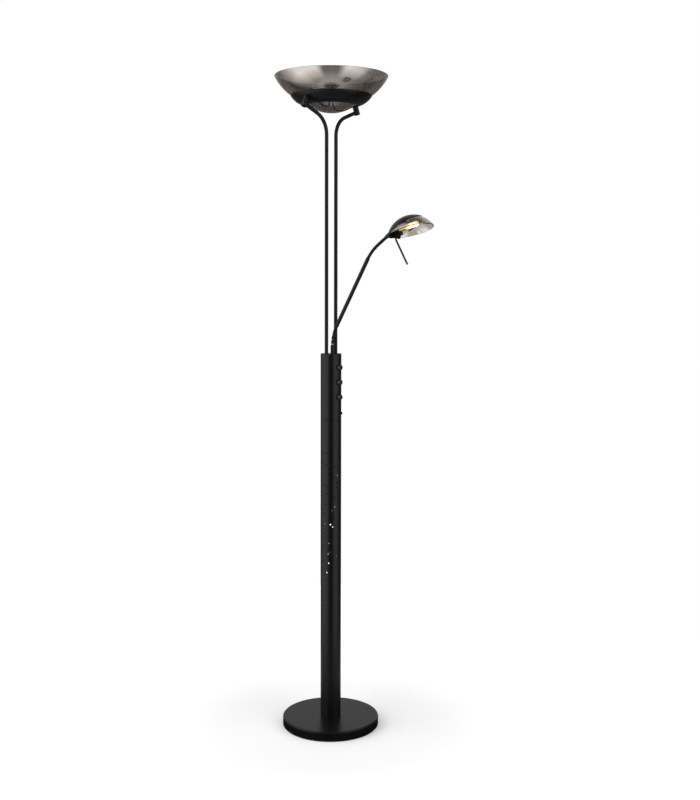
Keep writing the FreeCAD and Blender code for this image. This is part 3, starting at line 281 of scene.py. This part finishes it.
def rounded_tube(name, node):
    """A copy of a drilled tube's CAD mesh, merged. Faces of its outer and inner wall, which are
    those that face along the radius, get the normals of a true cylinder, (x, y, 0) / r outside
    and its opposite inside, so that the wall looks round."""
    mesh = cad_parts[node].data.copy()
    mesh.name = name
    mesh.materials.clear()
    piece = bpy.data.objects.new(name, mesh)
    bpy.context.collection.objects.link(piece)
    merge = piece.modifiers.new("merge", "WELD")
    merge.merge_threshold = MERGED_WITHIN * MM
    merged = bpy.data.meshes.new_from_object(piece.evaluated_get(
        bpy.context.evaluated_depsgraph_get()))
    piece.modifiers.clear()
    piece.data = merged
    merged.name = name
    points = np.zeros(len(merged.vertices) * 3, np.float32)
    merged.vertices.foreach_get("co", points)
    points = points.reshape(-1, 3)
    corners = np.zeros(len(merged.loops), np.int32)
    merged.loops.foreach_get("vertex_index", corners)
    totals = np.zeros(len(merged.polygons), np.int32)
    merged.polygons.foreach_get("loop_total", totals)
    flat = np.zeros(len(merged.polygons) * 3, np.float32)
    merged.polygons.foreach_get("normal", flat)
    normals = np.repeat(flat.reshape(-1, 3), totals, 0)
    radial = points[corners] * (1, 1, 0)
    radial /= np.maximum(np.linalg.norm(radial, axis=1, keepdims=True), 1e-9)
    facing = (normals * radial).sum(1)
    wall = np.abs(facing) > WALL_FACING
    normals[wall] = (radial * np.sign(facing)[:, None])[wall]
    merged.shade_smooth()
    merged.normals_split_custom_set(normals.tolist())
    return piece


opal, place = finish("lit_opal_tube")
spots = place.node("ShaderNodeMapRange", {"interpolation_type": "SMOOTHSTEP"}, {
    "Value": place.noise(11, 1, (1, 1, 0.6)), "From Min": 0.5, "From Max": 0.62})
above_floor = place.node("ShaderNodeSeparateXYZ", None, {"Vector": place}, "Z")
lower_part = place.node("ShaderNodeMapRange", None, {
    "Value": above_floor, "From Min": LIT_BELOW * MM, "From Max": (LIT_BELOW - LIT_FADE) * MM})
# Painted shade: the opal is near black outside the lit patches, and pale and glowing within them.
lit_else_painted_shade = spots * lower_part
coat(place, {
    "Base Color": lit_else_painted_shade.mixed((0.006, 0.006, 0.006), (0.7, 0.7, 0.69)), "Roughness": 0.5,
    "Specular IOR Level": 0.1, "Emission Color": lit_else_painted_shade.mixed((0, 0, 0), (1.0, 0.98, 0.95)),
    "Emission Strength": 1.6})

laminate, place = finish("circuit_laminate")
coat(place, {
    "Base Color": place.noise(3, 3).mixed((0.03, 0.12, 0.05), (0.05, 0.2, 0.09)),
    "Roughness": 0.35, "Normal": place.noise(1.5).bump(0.03)})

white, place = finish("white_moulded_plastic")
coat(place, {
    "Base Color": place.noise(25).mixed((0.8, 0.8, 0.78), (0.86, 0.86, 0.84)),
    "Roughness": place.noise(12) * 0.1 + 0.35, "Normal": place.noise(0.8).bump(0.01)})

chrome, place = finish("black_plating")
coat(place, {
    "Base Color": place.noise(5).mixed((0.06, 0.06, 0.065), (0.1, 0.1, 0.105)), "Metallic": 1.0,
    "Roughness": place.noise(2) * 0.1 + 0.2})

for node in ("column_lower", "column_upper"):
    fit(rounded_tube(f"{node}_tube", node), powder, "black_powder", "stand", node)
sleeve_low, sleeve_top = RING_LOW - SLEEVE_REACH, RING_TOP + SLEEVE_REACH
collar_face = COLUMN_RADIUS - RING_CHAMFER
collar = turned("sleeve_with_collar", filleted([
    (SLEEVE_BORE, sleeve_low, 0.3), (SLEEVE_RADIUS, sleeve_low, 0.5),
    (SLEEVE_RADIUS, RING_LOW), (collar_face, RING_LOW),
    (COLUMN_RADIUS, RING_LOW + RING_CHAMFER, 0.3),
    (COLUMN_RADIUS, RING_TOP - RING_CHAMFER, 0.3),
    (collar_face, RING_TOP), (SLEEVE_RADIUS, RING_TOP),
    (SLEEVE_RADIUS, sleeve_top, 0.5), (SLEEVE_BORE, sleeve_top, 0.3)]),
    ring=True, around=192)
fit(collar, powder, "black_powder", "stand", "joint_sleeve")
clad(chrome, "lock_screw")
clad(opal, "light_tube")
clad(laminate, "led_strip", "dimmer_board")
clad(white, "tube_carriers", "driver_box")


# ---------------------------------------------------------------- cap and dimmers
# The turned cap closes the column and carries everything above it. Behind the three knobs a board
# holds the rotary dimmers in their stamped steel cases.

stamped, place = finish("stamped_steel")
coat(place, {
    "Base Color": place.noise(9, 3).mixed((0.36, 0.36, 0.37), (0.5, 0.5, 0.51)), "Metallic": 1.0,
    "Roughness": 0.35, "Normal": place.noise(0.6, 3).bump(0.01)})

clad(powder, "column_cap")
clad(zinc, "cap_nuts", "arm_nipple")
clad(stamped, "dimmers")


# ---------------------------------------------------------------- knobs
# Three moulded knobs one above the other, with a well rounded front edge, a shallow hollow in the
# face and a fine groove near the back. Each is pushed on the spindle of its dimmer.

KNOB_RADIUS, KNOB_BACK, KNOB_LENGTH, KNOB_EDGE = 7.7, 29, 9, 2.6
KNOB_TOP, KNOB_SPACING, HOLLOW_RADIUS, HOLLOW_DEPTH = 1017.2, 40.8, 4.4, 0.4
GROOVE_FROM, GROOVE_TO, GROOVE_DEPTH, GROOVE_SLANT = 1.2, 2.2, 0.4, 0.3

knob_black, place = finish("satin_knob_plastic")
coat(place, {
    "Base Color": place.noise(6).mixed((0.002, 0.002, 0.002), (0.004, 0.004, 0.004)),
    "Roughness": place.noise(1.5, 3) * 0.06 + 0.12, "Specular IOR Level": 0.35})

groove_floor, hollow = KNOB_RADIUS - GROOVE_DEPTH, KNOB_LENGTH - HOLLOW_DEPTH
for number in (1, 2, 3):
    knob = turned(f"dimmer_knob_{number}", filleted([
        (0, 0), (KNOB_RADIUS, 0, 0.4), (KNOB_RADIUS, GROOVE_FROM, 0.1),
        (groove_floor, GROOVE_FROM + GROOVE_SLANT, 0.1),
        (groove_floor, GROOVE_TO - GROOVE_SLANT, 0.1), (KNOB_RADIUS, GROOVE_TO, 0.1),
        (KNOB_RADIUS, KNOB_LENGTH, KNOB_EDGE), (HOLLOW_RADIUS, KNOB_LENGTH, 0.6),
        (HOLLOW_RADIUS - HOLLOW_DEPTH, hollow, 0.5), (0, hollow)]),
        (0, -KNOB_BACK, KNOB_TOP - KNOB_SPACING * (number - 1)), (0, -1, 0), 96)
    fit(knob, knob_black, "black_knob", f"knob_turner_{number}", f"knob_{number}")


# ---------------------------------------------------------------- uplighter's tubes and brackets
# Two steel tubes rise from the cap side by side, bend outwards and end in turned brackets, which
# stand square to the dish's rounded side. All of it is powder coated.

TUBE_RADIUS, TUBE_SIDE, TUBE_FOOT, TUBE_BEND = 5, 18.5, 1046, 57
LEAN, SEAT = np.radians(22), (95.689, 1731.983)
BRACKET_RADIUS, BRACKET_LENGTH, BRACKET_SINK, TUBE_JOIN = 8, 26, 1.6, 18


def below_dish(distance, side):
    """The point of a bracket's axis at that distance below the dish's underside."""
    return np.array([side * (SEAT[0] + distance * np.sin(LEAN)), 0,
                     SEAT[1] - distance * np.cos(LEAN)])


def swept(name, path, radius, across, around=48):
    """A round rod along a path in the plane square to across: at every point of the path lies a
    circle of that radius, radius * (cos a * across + sin a * (across x direction))."""
    direction = np.gradient(path, axis=0)
    direction /= np.linalg.norm(direction, axis=1, keepdims=True)
    aside = np.cross(direction, across)
    angle = np.linspace(0, 2 * np.pi, around, endpoint=False)[None, :, None]
    loops = path[:, None] + radius * (np.cos(angle) * np.asarray(across, float)
                                      - np.sin(angle) * aside[:, None])
    ends = np.repeat(path[[0, -1]][:, None], around, 1)
    return skin(name, np.concatenate([ends[:1], loops, ends[1:]]), False)


# The tube's path: straight up, through an arc of TUBE_BEND, and straight on into the bracket.
end_x, _, end_z = below_dish(TUBE_JOIN, 1)
bent = np.pi / 2 - LEAN
slant = (end_x - TUBE_SIDE - TUBE_BEND * (1 - np.cos(bent))) / np.sin(bent)
bend_low = end_z - slant * np.cos(bent) - TUBE_BEND * np.sin(bent)
turn = np.linspace(0, bent, 33)
path_x = np.concatenate([[TUBE_SIDE], TUBE_SIDE + TUBE_BEND * (1 - np.cos(turn)), [end_x]])
path_z = np.concatenate([[TUBE_FOOT], bend_low + TUBE_BEND * np.sin(turn), [end_z]])
bracket_end = BRACKET_LENGTH + BRACKET_SINK

for side, word in ((1, "right"), (-1, "left")):
    tube = swept(f"uplighter_tube_{word}", np.stack([side * path_x, 0 * path_x, path_z], 1),
                 TUBE_RADIUS, (0, 1, 0))
    fit(tube, powder, "black_powder", "stand", f"uplight_tube_{word}")
    bracket = turned(f"bowl_bracket_{word}", filleted([
        (0, 0), (BRACKET_RADIUS, 0, 0.8), (BRACKET_RADIUS, bracket_end, 0.5), (0, bracket_end)]),
        below_dish(BRACKET_LENGTH, side), (-side * np.sin(LEAN), 0, np.cos(LEAN)), 96)
    fit(bracket, powder, "black_powder", "stand", f"bracket_{word}")


# ---------------------------------------------------------------- dish
# Spun from sheet steel to one round arc, from a wide hole in the middle to a bare outer rim. The
# glass lies on the edge of the hole, and two screws through rubber rings hold both.

DISH_CENTRE, DISH_ARC, DISH_SHEET = (63.361, 1776.479), 55, 1.2
DISH_FROM, DISH_TO = np.radians(2.9), np.radians(57.6)

# The section is an arc outside, a half-round rim, the arc inside and a half-round edge at the hole.
turn = np.linspace(DISH_FROM, DISH_TO, 41)
arc = np.stack([np.sin(turn), -np.cos(turn)], 1)
half_turn = np.linspace(-np.pi / 2, np.pi / 2, 9)[1:-1, None]
edges = [DISH_CENTRE + (DISH_ARC - DISH_SHEET / 2) * arc[end] + DISH_SHEET / 2 * outwards * (
    np.cos(half_turn) * (-arc[end, 1], arc[end, 0]) - np.sin(half_turn) * arc[end])
    for end, outwards in ((-1, 1), (0, -1))]
dish = turned("uplighter_dish", np.concatenate([
    DISH_CENTRE + DISH_ARC * arc, edges[0], DISH_CENTRE + (DISH_ARC - DISH_SHEET) * arc[::-1],
    edges[1]]), ring=True, around=256)
fit(dish, powder, "black_powder", "stand", "uplight_dish")
clad(rubber, "glass_spacers")
clad(zinc, "bridge_screws", "lamp_bridge")


# ---------------------------------------------------------------- bowl
# Blown smoked glass with a thin mirror film, 3.5 mm thick. From a flat rounded middle the wall
# opens as a cone and curves up to a fire-polished rim.

GLASS, RIM_RADIUS, RIM_HEIGHT = 3.5, 152.84, 1797.5
RIM_SLOPE, CONE_SLOPE, WALL_BEND, FLOOR_BEND = np.radians(62.62), np.radians(30), 133.6, 112

smoked, place = finish("smoked_mirror_glass")
coat(place, {
    "Base Color": place.noise(60).mixed((0.45, 0.405, 0.375), (0.48, 0.435, 0.405)),
    "Metallic": 0.53, "Roughness": place.noise(45, 3) * 0.02 + 0.01, "IOR": 1.5,
    "Transmission Weight": 1.0})

# Outside, an arc for the floor runs into a straight cone up to the knee, and an arc up to the rim.
knee = (RIM_RADIUS - WALL_BEND * (np.sin(RIM_SLOPE) - np.sin(CONE_SLOPE)),
        RIM_HEIGHT - WALL_BEND * (np.cos(CONE_SLOPE) - np.cos(RIM_SLOPE)))
foot = (FLOOR_BEND * np.sin(CONE_SLOPE),
        knee[1] - (knee[0] - FLOOR_BEND * np.sin(CONE_SLOPE)) * np.tan(CONE_SLOPE))
floor_slope = np.linspace(0, CONE_SLOPE, 33)
wall_slope = np.linspace(CONE_SLOPE, RIM_SLOPE, 49)
outside = np.concatenate([
    np.stack([FLOOR_BEND * np.sin(floor_slope),
              foot[1] - FLOOR_BEND * (np.cos(floor_slope) - np.cos(CONE_SLOPE))], 1),
    np.stack([knee[0] + WALL_BEND * (np.sin(wall_slope) - np.sin(CONE_SLOPE)),
              knee[1] + WALL_BEND * (np.cos(CONE_SLOPE) - np.cos(wall_slope))], 1)])
slope = np.concatenate([floor_slope, wall_slope])
inward = np.stack([-np.sin(slope), np.cos(slope)], 1)
half_turn = np.linspace(-np.pi / 2, np.pi / 2, 13)[1:-1, None]
rim = (outside[-1] + inward[-1] * GLASS / 2 + GLASS / 2 * (
    np.cos(half_turn) * (np.cos(RIM_SLOPE), np.sin(RIM_SLOPE)) + np.sin(half_turn) * inward[-1]))
inside = (outside + inward * GLASS)[::-1]
inside[-1, 0] = 0
bowl = turned("uplighter_bowl", np.concatenate([outside, rim, inside]), around=320)
fit(bowl, smoked, "smoked_glass", "stand", "uplight_bowl")


# ---------------------------------------------------------------- lamp in the bowl
# A tubular lamp with ceramic ends lies between two sockets on a bent steel bridge over the glass.

LAMP_HEIGHT, LAMP_REACH, LAMP_GLASS, LAMP_SHOULDER = 1760.084, 59, 53, 1.5
LAMP_RADIUS, CERAMIC_RADIUS = 5.2, 3.4

quartz, place = finish("clear_quartz")
coat(place, {
    "Base Color": place.noise(8).mixed((0.93, 0.93, 0.93), (0.97, 0.97, 0.97)),
    "Roughness": place.noise(4) * 0.05 + 0.03, "Transmission Weight": 0.8})

ceramic, place = finish("glazed_ceramic")
coat(place, {
    "Base Color": place.noise(5, 3).mixed((0.8, 0.79, 0.75), (0.87, 0.86, 0.83)),
    "Roughness": place.noise(3) * 0.1 + 0.2, "Normal": place.noise(1.2, 3).bump(0.02)})

lamp_end = [
    (0, -LAMP_REACH), (CERAMIC_RADIUS, -LAMP_REACH, 0.6), (CERAMIC_RADIUS, -LAMP_GLASS, 0.6),
    (LAMP_RADIUS, LAMP_SHOULDER - LAMP_GLASS, LAMP_SHOULDER)]
lamp = turned("tubular_lamp", filleted(
    lamp_end + [(radius, -reach, *edge) for radius, reach, *edge in lamp_end[::-1]]),
    (0, 0, LAMP_HEIGHT), (1, 0, 0), 48)
fit(lamp, quartz, "clear_glass", "stand", "uplight_lamp")
clad(ceramic, "lamp_socket_left", "lamp_socket_right")


# ---------------------------------------------------------------- reading arm
# A turned ferrule on the cap, a short gooseneck, a rigid tube and a longer gooseneck, all black.
# A gooseneck is a chain of ribbed links, and each link turns on a hinge in the gap before it.

END_SLOPE, LINK_GAP, BORE, RIB_DEPTH, RIBS = np.tan(np.radians(7.5)), 0.15, 2.2, 0.7, 5
ARM_FOOT, FERRULE_RADIUS, FIRST_HINGE = (0, -6, 1054.3), 6, 25.5
SHOULDER_DROP, COLLAR_DROP = 4.8, 2.6
LOWER = dict(radius=4.9, pitch=12.5, bend=6.34, links=4)
UPPER = dict(radius=4.4, pitch=13.2, bend=6.0, links=6, bent=4)
ARM_RADIUS, ARM_LENGTH = 5.3, 219
END_RADIUS, NECK_REACH, NECK_RADIUS, NECK_GAP = 5.2, 14, 5.6, 0.3


def leaning(tilt):
    """The direction that leans by tilt from the vertical towards the front."""
    return np.array([0, -np.sin(tilt), np.cos(tilt)])


def gooseneck_link(name, hinge, tilt, radius, pitch):
    """A link: cone-shaped ends round the bore, and between them ribs whose radius follows
    radius - depth * (1 - sqrt(1 - (0.98 u)^2)), with u from -1 to 1 over each rib."""
    outer, inner = LINK_GAP + radius * END_SLOPE, LINK_GAP + BORE * END_SLOPE
    rib = (pitch - 2 * outer) / RIBS
    u = np.tile(np.linspace(-1, 1, 9), RIBS)
    along = outer + rib * (np.repeat(np.arange(RIBS), 9) + (u + 1) / 2)
    ribbed = radius - RIB_DEPTH * (1 - np.sqrt(1 - (0.98 * u) ** 2))
    section = np.concatenate([
        [(BORE, inner)], np.stack([ribbed, along], 1), [(BORE, pitch - inner)]])
    return turned(name, section, hinge, leaning(tilt), 64, ring=True)


ferrule_top = FIRST_HINGE - LINK_GAP
ferrule = turned("arm_ferrule_turned", filleted([
    (0, 0), (FERRULE_RADIUS, 0, 0.4), (FERRULE_RADIUS, ferrule_top - SHOULDER_DROP, 1.2),
    (LOWER["radius"], ferrule_top - COLLAR_DROP, 0.5), (LOWER["radius"], ferrule_top - 0.7, 0.3),
    (BORE, ferrule_top - 0.3), (0, ferrule_top - 0.3)]), ARM_FOOT, around=96)
fit(ferrule, powder, "black_powder", "arm_base", "arm_ferrule")

hinge, tilt = np.array(ARM_FOOT) + (0, 0, FIRST_HINGE), 0.0
for number in range(1, LOWER["links"] + 1):
    tilt += np.radians(LOWER["bend"])
    link = gooseneck_link(f"lower_gooseneck_{number}", hinge, tilt, LOWER["radius"],
                          LOWER["pitch"])
    fit(link, powder, "black_powder", f"lower_bead_{number}", f"lower_flex_{number}")
    hinge = hinge + LOWER["pitch"] * leaning(tilt)

tilt += np.radians(LOWER["bend"])
arm_end = [(0, 0.5), (BORE, 0.5), (ARM_RADIUS - 0.8, 0.9, 0.3), (ARM_RADIUS, 2, 0.8)]
arm = turned("reading_arm_tube", filleted(
    arm_end + [(radius, ARM_LENGTH - along, *edge) for radius, along, *edge in arm_end[::-1]]),
    hinge, leaning(tilt), 64)
fit(arm, powder, "black_powder", "arm_rod", "arm_tube")
hinge = hinge + ARM_LENGTH * leaning(tilt)

for number in range(1, UPPER["links"] + 1):
    tilt += np.radians(UPPER["bend"]) * (number <= UPPER["bent"])
    link = gooseneck_link(f"upper_gooseneck_{number}", hinge, tilt, UPPER["radius"],
                          UPPER["pitch"])
    fit(link, powder, "black_powder", f"upper_bead_{number}", f"upper_flex_{number}")
    hinge = hinge + UPPER["pitch"] * leaning(tilt)

end_length = NECK_REACH - NECK_RADIUS - NECK_GAP
gooseneck_end = turned("gooseneck_end", filleted([
    (0, 0.5), (BORE, 0.5), (UPPER["radius"], 0.75, 0.2), (END_RADIUS, 2.2, 0.5),
    (END_RADIUS, end_length, 0.4), (0, end_length)]), hinge, leaning(tilt), 64)
fit(gooseneck_end, powder, "black_powder", "flex_tip", "flex_end")


# ---------------------------------------------------------------- reading head
# A spun steel shell, black outside and dark gold inside, lies over a wider dome of smoked glass. A
# ball neck carries both, and a block inside holds the lit bulb and the handle that turns the head.

HEAD = np.array([0, -287.234, 1353.426])
DOME_RADIUS, DOME_GLASS, DOME_SPREAD, DOME_LEAN = 66.6, 2.5, np.radians(65.2), np.radians(16.4)
SHELL_GAP, SHELL_WALL, SHELL_SPREAD, SHELL_LEAN = 0.3, 1.2, np.radians(49.4), np.radians(33.4)
SHELL_ASIDE, LINING_SHARE = np.radians(11.5), 0.3


def cap(name, radius, wall, spread, lean, aside=0):
    """Part of a hollow ball: both faces are arcs round its centre, joined by a half-round rim. Its
    pole leans back, (0, sin lean, cos lean), and is then turned aside about the vertical."""
    turn = np.linspace(0, spread - wall / 2 / radius, 49)[:, None]
    arc = np.concatenate([np.sin(turn), np.cos(turn)], 1)
    out, along = arc[-1], np.array([arc[-1, 1], -arc[-1, 0]])
    half_turn = np.linspace(-np.pi / 2, np.pi / 2, 9)[1:-1, None]
    rim = (radius - wall / 2) * out + wall / 2 * (
        np.cos(half_turn) * along + np.sin(half_turn) * out)
    section = np.concatenate([arc * (radius - wall), rim, arc[::-1] * radius])
    pole = (-np.sin(lean) * np.sin(aside), np.sin(lean) * np.cos(aside), np.cos(lean))
    return turned(name, section, HEAD, pole, 192)


lined, place = finish("powder_lined_with_dark_gold")
from_centre = place.node("ShaderNodeVectorMath", {"operation": "DISTANCE"},
                         {0: place, 1: HEAD * MM}, "Value")
lining = place.math("LESS_THAN", from_centre,
                    (DOME_RADIUS + SHELL_GAP + SHELL_WALL * LINING_SHARE) * MM)
coat(place, {
    "Base Color": lining.mixed((0.003, 0.003, 0.0032), place.noise(14, 3).mixed(
        (0.2, 0.11, 0.03), (0.5, 0.31, 0.1))),
    "Metallic": lining, "Roughness": place.noise(24, 3) * 0.08 + 0.26, "IOR": 1.4,
    "Specular IOR Level": 0.24})

pale_smoked, place = finish("pale_smoked_glass")
coat(place, {
    "Base Color": place.noise(40).mixed((0.56, 0.52, 0.48), (0.6, 0.56, 0.52)),
    "Metallic": 0.22, "Roughness": place.noise(30, 3) * 0.02 + 0.02, "IOR": 1.5,
    "Transmission Weight": 1.0})

dome = cap("head_glass_dome", DOME_RADIUS, DOME_GLASS, DOME_SPREAD, DOME_LEAN)
fit(dome, pale_smoked, "smoked_glass", "head", "head_glass")
shell_radius = DOME_RADIUS + SHELL_GAP + SHELL_WALL
shell = cap("head_steel_shell", shell_radius, SHELL_WALL, SHELL_SPREAD, SHELL_LEAN, SHELL_ASIDE)
fit(shell, lined, "black_powder", "head", "head_shell")
clad(powder, "head_neck", "holder_block")
clad(chrome, "glass_screw")
clad(rubber, "neck_washer")


# ---------------------------------------------------------------- bulb and handle
# A frosted capsule bulb in a brass-sleeved socket points along the inside of the shell, brightest
# in its middle. The handle is a thin rod with a moulded tip, screwed into the block.

BULB_FOOT, BULB_RISE = np.array([0, -233.236, 1383.082]), np.radians(76.6)
BULB_START, BULB_LENGTH, BULB_RADIUS = 25.9, 46, 6.5
ROD_FOOT, ROD_LEAN = np.array([-6, -232.159, 1361.718]), np.radians(148.5)
THREAD_RADIUS, THREAD_SINK, SHOULDER = 1.5, 5.5, 3
ROD_RADIUS, ROD_END, TIP_RADIUS, TIP_START, TIP_END = 2.5, 68.9, 2.7, 69, 78

lit, place = finish("lit_bulb")
bulb_axis = leaning(BULB_RISE)
along = place.node("ShaderNodeVectorMath", {"operation": "DOT_PRODUCT"},
                   {0: place, 1: bulb_axis}, "Value")
share = (along - (bulb_axis @ BULB_FOOT + BULB_START) * MM) * (1 / (BULB_LENGTH * MM))
bright = place.node("ShaderNodeValToRGB", {"stops": [
    (0.1, 0.12), (0.3, 0.3), (0.45, 1.0), (0.85, 1.0), (1.0, 0.55)]},
    {"Fac": share + (place.noise(3.5, 3) * 0.5 - 0.25)})
coat(place, {
    "Base Color": bright.mixed((0.5, 0.32, 0.1), (0.95, 0.9, 0.8)), "Roughness": 0.3,
    "Emission Color": bright.mixed((0.02, 0.008, 0.0), (1.0, 0.8, 0.42)),
    "Emission Strength": 3.0})

brass, place = finish("drawn_brass")
coat(place, {
    "Base Color": place.noise(4, 3).mixed((0.5, 0.33, 0.1), (0.68, 0.47, 0.17)), "Metallic": 1.0,
    "Roughness": place.noise(2) * 0.15 + 0.25})

moulded, place = finish("moulded_black_plastic")
coat(place, {
    "Base Color": place.noise(4).mixed((0.012, 0.012, 0.012), (0.02, 0.02, 0.02)),
    "Roughness": place.noise(1.5) * 0.1 + 0.35, "Normal": place.noise(0.4).bump(0.01)})

bulb = turned("reading_bulb_glass", filleted([
    (0, BULB_START), (BULB_RADIUS, BULB_START, 0.5),
    (BULB_RADIUS, BULB_START + BULB_LENGTH, BULB_RADIUS - 0.3),
    (0, BULB_START + BULB_LENGTH)], 12), BULB_FOOT, bulb_axis, 64)
fit(bulb, lit, "frosted_glass", "head", "reading_bulb")
clad(brass, "bulb_socket")

rod = turned("handle_rod_turned", filleted([
    (0, -THREAD_SINK), (THREAD_RADIUS, -THREAD_SINK, 0.2), (THREAD_RADIUS, SHOULDER),
    (ROD_RADIUS, SHOULDER, 0.5), (ROD_RADIUS, ROD_END, 0.2), (0, ROD_END)]),
    ROD_FOOT, leaning(ROD_LEAN), 48)
fit(rod, powder, "black_powder", "head", "handle_rod")
handle_tip = turned("handle_tip_moulded", filleted([
    (0, TIP_START), (TIP_RADIUS, TIP_START, 0.4), (TIP_RADIUS, TIP_END, 1.0), (0, TIP_END)]),
    ROD_FOOT, leaning(ROD_LEAN), 48)
fit(handle_tip, moulded, "black_plastic", "head", "handle_tip")


# ---------------------------------------------------------------- floor
# A round sheet of white paper under the lamp. The camera sees it lifted to white, but less so near
# the base, a painted shade over the lamp's shadow there. Polished faces see a painted reflection of
# it near the base: a dark ring next to it and a brighter one further out.

FLOOR_RADIUS, LIFT_FAR, LIFT_IN_PAINTED_SHADE = 1500, 0.45, 0.2

paper, place = finish("white_floor")
camera_ray = place.node("ShaderNodeLightPath", output="Is Camera Ray")
glossy_ray = place.node("ShaderNodeLightPath", output="Is Glossy Ray")
away = place.node("ShaderNodeVectorMath", {"operation": "LENGTH"}, {0: place}, "Value")
# Painted shade: near the base the camera's lift is lower, so the floor is darker there.
near = place.node("ShaderNodeValToRGB", {"stops": [(0.3, 1.0), (0.5, 0.6), (1.0, 0.0)]},
                  {"Fac": away})
# Painted reflection: glossy rays see the floor as an emission, dark next to the base and brighter
# further out.
painted_reflection_level = place.node("ShaderNodeValToRGB", {"stops": [
    (0.18, 0.02), (0.25, 0.15), (0.42, 0.65), (0.7, 0.45)]}, {"Fac": away})
matt = place.node("ShaderNodeBsdfDiffuse", None, {"Color": (0.8, 0.8, 0.8, 1)})
lift = place.node("ShaderNodeEmission", None,
                  {"Color": LIFT_FAR - near * (LIFT_FAR - LIFT_IN_PAINTED_SHADE), "Strength": camera_ray})
lifted = place.node("ShaderNodeAddShader", None, {0: matt, 1: lift})
clear = place.node("ShaderNodeBsdfTransparent")
painted_reflection_ring = place.node("ShaderNodeEmission", None, {"Color": painted_reflection_level})
mirrored = place.node("ShaderNodeMixShader", None, {0: near, 1: clear, 2: painted_reflection_ring})
paper_face = place.node("ShaderNodeMixShader", None, {0: glossy_ray, 1: lifted, 2: mirrored})
place.node("ShaderNodeOutputMaterial", None, {"Surface": paper_face})

floor = turned("floor_paper", [(0, -1), (FLOOR_RADIUS, -1), (FLOOR_RADIUS, 0), (0, 0)])
floor.data.materials.append(paper)
floor.visible_transmission = False


# ---------------------------------------------------------------- light
# A white surround with a softbox on each side of the camera, faint light from behind the lamp, a
# sheen from below, and a soft disc overhead. The camera sees it plain white, also through glass.

TOWARDS_CAMERA, LEFTWARD, UPWARD = (Vector(way) for way in (
    (-0.7431, -0.6691, 0), (-0.6691, 0.7431, 0), (0, 0, 1)))
BRIGHTNESS, OVERHEAD, OVERHEAD_SIZE, OVERHEAD_WATTS = 2.75, Vector((-0.6, -0.9, 3.4)), 2.0, 6
OVERHEAD_AIM = Vector((0, 0, 0.8))

world = bpy.data.worlds.new("surround")
bpy.context.scene.world = world
world.use_nodes = True
world.node_tree.nodes.clear()
outward = Socket(world.node_tree,
                 world.node_tree.nodes.new("ShaderNodeTexCoord").outputs["Generated"])
ahead, leftward, upward = (
    outward.node("ShaderNodeVectorMath", {"operation": "DOT_PRODUCT"}, {0: outward, 1: way},
                 "Value") for way in (TOWARDS_CAMERA, LEFTWARD, UPWARD))
bearing = outward.math("ARCTAN2", leftward, ahead) * (0.5 / np.pi) + 0.5
elevation = outward.math("ARCSINE", upward) * (1 / np.pi) + 0.5


def by_bearing(*levels):
    """A level that runs through (degrees, level) pairs against the bearing from the camera's side,
    positive to the left of the lamp as the camera sees it."""
    stops = [(degrees / 360 + 0.5, level) for degrees, level in levels]
    return outward.node("ShaderNodeValToRGB", {"stops": stops}, {"Fac": bearing})


def by_height(*levels):
    """A level that runs through (degrees, level) pairs against the height over the horizon."""
    stops = [(degrees / 180 + 0.5, level) for degrees, level in levels]
    return outward.node("ShaderNodeValToRGB", {"stops": stops}, {"Fac": elevation})


softboxes = by_bearing(
    (-180, 0.0), (-115, 0.0), (-95, 0.15), (-79, 0.65), (-40, 1.0), (-20, 0.02), (20, 0.02),
    (36, 1.0), (85, 1.0), (110, 0.4), (132, 0.0), (180, 0.0)) * by_height(
    (-72, 0.0), (-62, 0.24), (-42, 0.8), (-30, 0.72), (-14, 0.72), (-6, 1.0), (45, 1.0),
    (75, 0.15), (90, 0.1))
behind = by_bearing(
    (-180, 0.24), (-140, 0.24), (-110, 0.0), (110, 0.0), (140, 0.24), (180, 0.24)) * by_height(
    (-10, 0.15), (14, 1.0), (45, 1.0), (70, 0.3))
sheen = by_height(
    (-90, 0.0), (-86, 0.04), (-77, 0.24), (-68, 0.16), (-55, 0.04), (-40, 0.0)) * by_bearing(
    (-120, 0.4), (-75, 0.15), (-45, 1.0), (45, 1.0), (75, 0.3), (120, 0.4))
level_with_glass = by_height((-32, 0.0), (-24, 1.0), (24, 1.0), (32, 0.0))
through_glass = outward.node("ShaderNodeLightPath", output="Is Transmission Ray")
white_seen = outward.math("MAXIMUM", outward.node("ShaderNodeLightPath", output="Is Camera Ray"),
                          through_glass * level_with_glass)
strength = white_seen + (softboxes + behind + sheen) * BRIGHTNESS * (1 - white_seen)
backdrop = outward.node("ShaderNodeBackground", None,
                        {"Color": (1, 1, 1, 1), "Strength": strength})
outward.node("ShaderNodeOutputWorld", None, {"Surface": backdrop})

disc = bpy.data.lights.new("overhead_softbox", "AREA")
disc.shape, disc.size, disc.energy = "DISK", OVERHEAD_SIZE, OVERHEAD_WATTS
hung = bpy.data.objects.new("overhead_softbox", disc)
hung.location = OVERHEAD
hung.rotation_euler = (OVERHEAD_AIM - OVERHEAD).to_track_quat("-Z", "Y").to_euler()
bpy.context.collection.objects.link(hung)


# ---------------------------------------------------------------- camera
# It stands 1.25 m high and 3.12 m from the column, in front of the knobs and to their left, and
# looks down a little.

CAMERA_PLACE, TILT, ROLL, LENS, SHIFT = (-2.2822, -2.1284, 1.248), 0.103, 0.003, 51.09, -0.00094

camera = bpy.data.objects.new("camera", bpy.data.cameras.new("camera"))
camera.data.lens, camera.data.shift_x = LENS, SHIFT
camera.location = CAMERA_PLACE
look = -TOWARDS_CAMERA * np.cos(TILT) - UPWARD * np.sin(TILT)
camera.rotation_euler = (look.to_track_quat("-Z", "Y")
                         @ Quaternion((0, 0, 1), ROLL)).to_euler()
bpy.context.collection.objects.link(camera)
bpy.context.scene.camera = camera
bpy.context.scene.view_settings.view_transform = "Standard"
